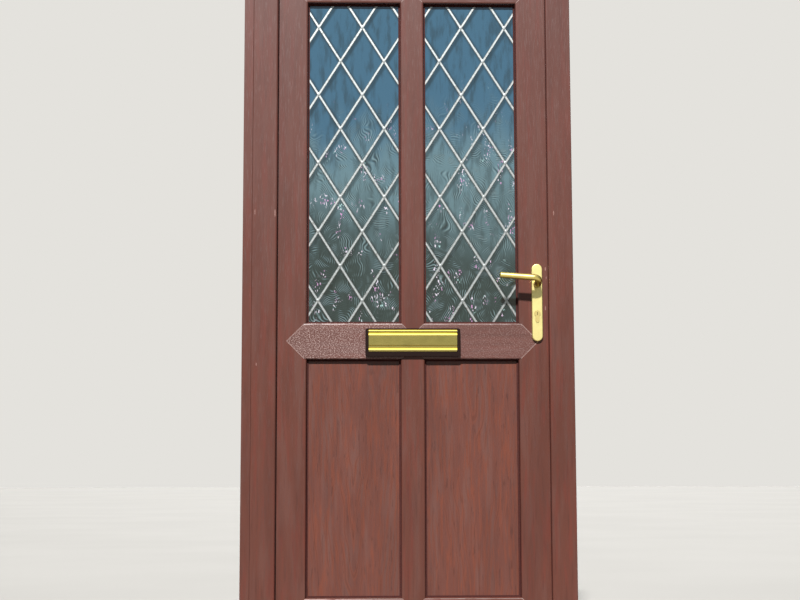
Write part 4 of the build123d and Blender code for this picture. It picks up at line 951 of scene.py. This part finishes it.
class DOOR_OT_recesses(bpy.types.Operator):
    """Lay painted shade in the shape of a cross recess on the heads of the hinge screws and handle screws"""
    bl_idname = "door.recesses"
    bl_label = "Screw recesses"

    def execute(self, context):
        # Painted shade: strips standing for pressed zinc-plated steel deep in a recess, where hardly any
        # light comes back out of it
        shaded = mottled("painted_recess_shade", linear("#23221f"), linear("#3b3935"), size=1 * MM,
                         roughness=0.6, metallic=0.5)
        width = context.scene.door_seam.recess_width
        bodies = {
            "hinge_frame_screws": BODY_FRAME,
            "hinge_leaf_screws": BODY_LEAF,
            "handle_screws": BODY_LEAF,
        }
        for screws, body in bodies.items():
            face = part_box(screws)[1].y
            mesh = bmesh.new()
            for centre, radius in head_centres(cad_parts[screws], face):
                middle = Vector((centre.x, centre.z))
                for turn in (45, 135):
                    lean = math.radians(turn)
                    reach = Vector((math.cos(lean), math.sin(lean))) * radius * RECESS_REACH
                    strip(mesh, trimmed(middle - reach, middle + reach), face, 1, width, RECESS_PROUD)
            piece(f"{screws}_recesses", mesh, shaded, body)
        return {"FINISHED"}


class DOOR_OT_stage(bpy.types.Operator):
    """Set up the pale floor, the soft studio lights, the surroundings and the camera"""
    bl_idname = "door.stage"
    bl_label = "Stage"

    def execute(self, context):
        studio = context.scene.door_studio
        scene = context.scene
        scene.view_settings.view_transform = "Standard"
        # Matt painted board: even and pale, with hardly visible drifts; matt faces get little light from it
        made, tree, shader = material("painted_floor")
        drifts = blots(tree, placed(tree), FLOOR_DRIFT, 0.3, 0.7)
        matt = node(tree, "LightPath", output="Is Diffuse Ray")
        plug(tree, shader, {
            "Base Color": tinted(tree, studio.floor, (drifts, studio.floor_pale), (matt, studio.floor_shade)),
            "Roughness": 0.8,
            "Specular IOR Level": 0.1,
        })
        mesh = bmesh.new()
        bmesh.ops.create_circle(mesh, cap_ends=True, segments=FLOOR_SIDES, radius=FLOOR_RADIUS)
        floor = meshed("studio_floor", mesh, made)
        floor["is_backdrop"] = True
        towards = Vector((0, -math.cos(studio.key_height), math.sin(studio.key_height)))
        towards = Matrix.Rotation(-studio.key_side, 3, "Z") @ towards
        lamp("key_light", studio.key, studio.key_spread, KEY_DISTANCE * towards, Vector())
        middle = Vector((0, 0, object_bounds()[1].z / 2))
        lamp("room_light", studio.room, studio.room_spread, ROOM_LAMP_PLACE, middle)
        surroundings(scene, studio)
        view = bpy.data.cameras.new("camera")
        view.lens = studio.lens
        view.sensor_width = SENSOR_WIDTH
        eye = added("camera", view)
        eye.location = (studio.aside, -studio.distance, studio.eye)
        upright = Matrix.Rotation(math.radians(90) + studio.pitch, 3, "X")
        turn = Matrix.Rotation(-studio.yaw, 3, "Z") @ upright @ Matrix.Rotation(studio.roll, 3, "Z")
        eye.rotation_euler = turn.to_euler()
        bpy.context.scene.camera = eye
        return {"FINISHED"}


OPERATORS = (DOOR_OT_foil, DOOR_OT_glass, DOOR_OT_lead, DOOR_OT_gold, DOOR_OT_ironmongery, DOOR_OT_trim,
             DOOR_OT_seams, DOOR_OT_scuffs, DOOR_OT_recesses, DOOR_OT_stage)


class DOOR_PT_panel(bpy.types.Panel):
    """Steps that finish the front door"""
    bl_label = "Front door"
    bl_idname = "DOOR_PT_panel"
    bl_space_type = "VIEW_3D"
    bl_region_type = "UI"
    bl_category = "Front door"

    def draw(self, context):
        for step_class in OPERATORS:
            self.layout.operator(step_class.bl_idname)


SETTINGS = {
    "door_foil": DoorFoilSettings,
    "door_fitting": DoorFittingSettings,
    "door_seam": DoorSeamSettings,
    "door_studio": DoorStudioSettings,
}


def register():
    """Registers the settings, the operators and the panel."""
    for name, group in SETTINGS.items():
        bpy.utils.register_class(group)
        setattr(bpy.types.Scene, name, PointerProperty(type=group))
    for item in (*OPERATORS, DOOR_PT_panel):
        bpy.utils.register_class(item)


def unregister():
    """Takes the panel, the operators and the settings out again."""
    for item in reversed((*OPERATORS, DOOR_PT_panel)):
        bpy.utils.unregister_class(item)
    for name, group in reversed(SETTINGS.items()):
        delattr(bpy.types.Scene, name)
        bpy.utils.unregister_class(group)


def main():
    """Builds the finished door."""
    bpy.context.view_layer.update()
    register()
    bpy.ops.door.foil()
    bpy.ops.door.glass()
    bpy.ops.door.lead()
    bpy.ops.door.gold()
    bpy.ops.door.ironmongery()
    bpy.ops.door.trim()
    bpy.ops.door.seams()
    bpy.ops.door.scuffs()
    bpy.ops.door.recesses()
    bpy.ops.door.stage()


if __name__ == "__main__":
    main()
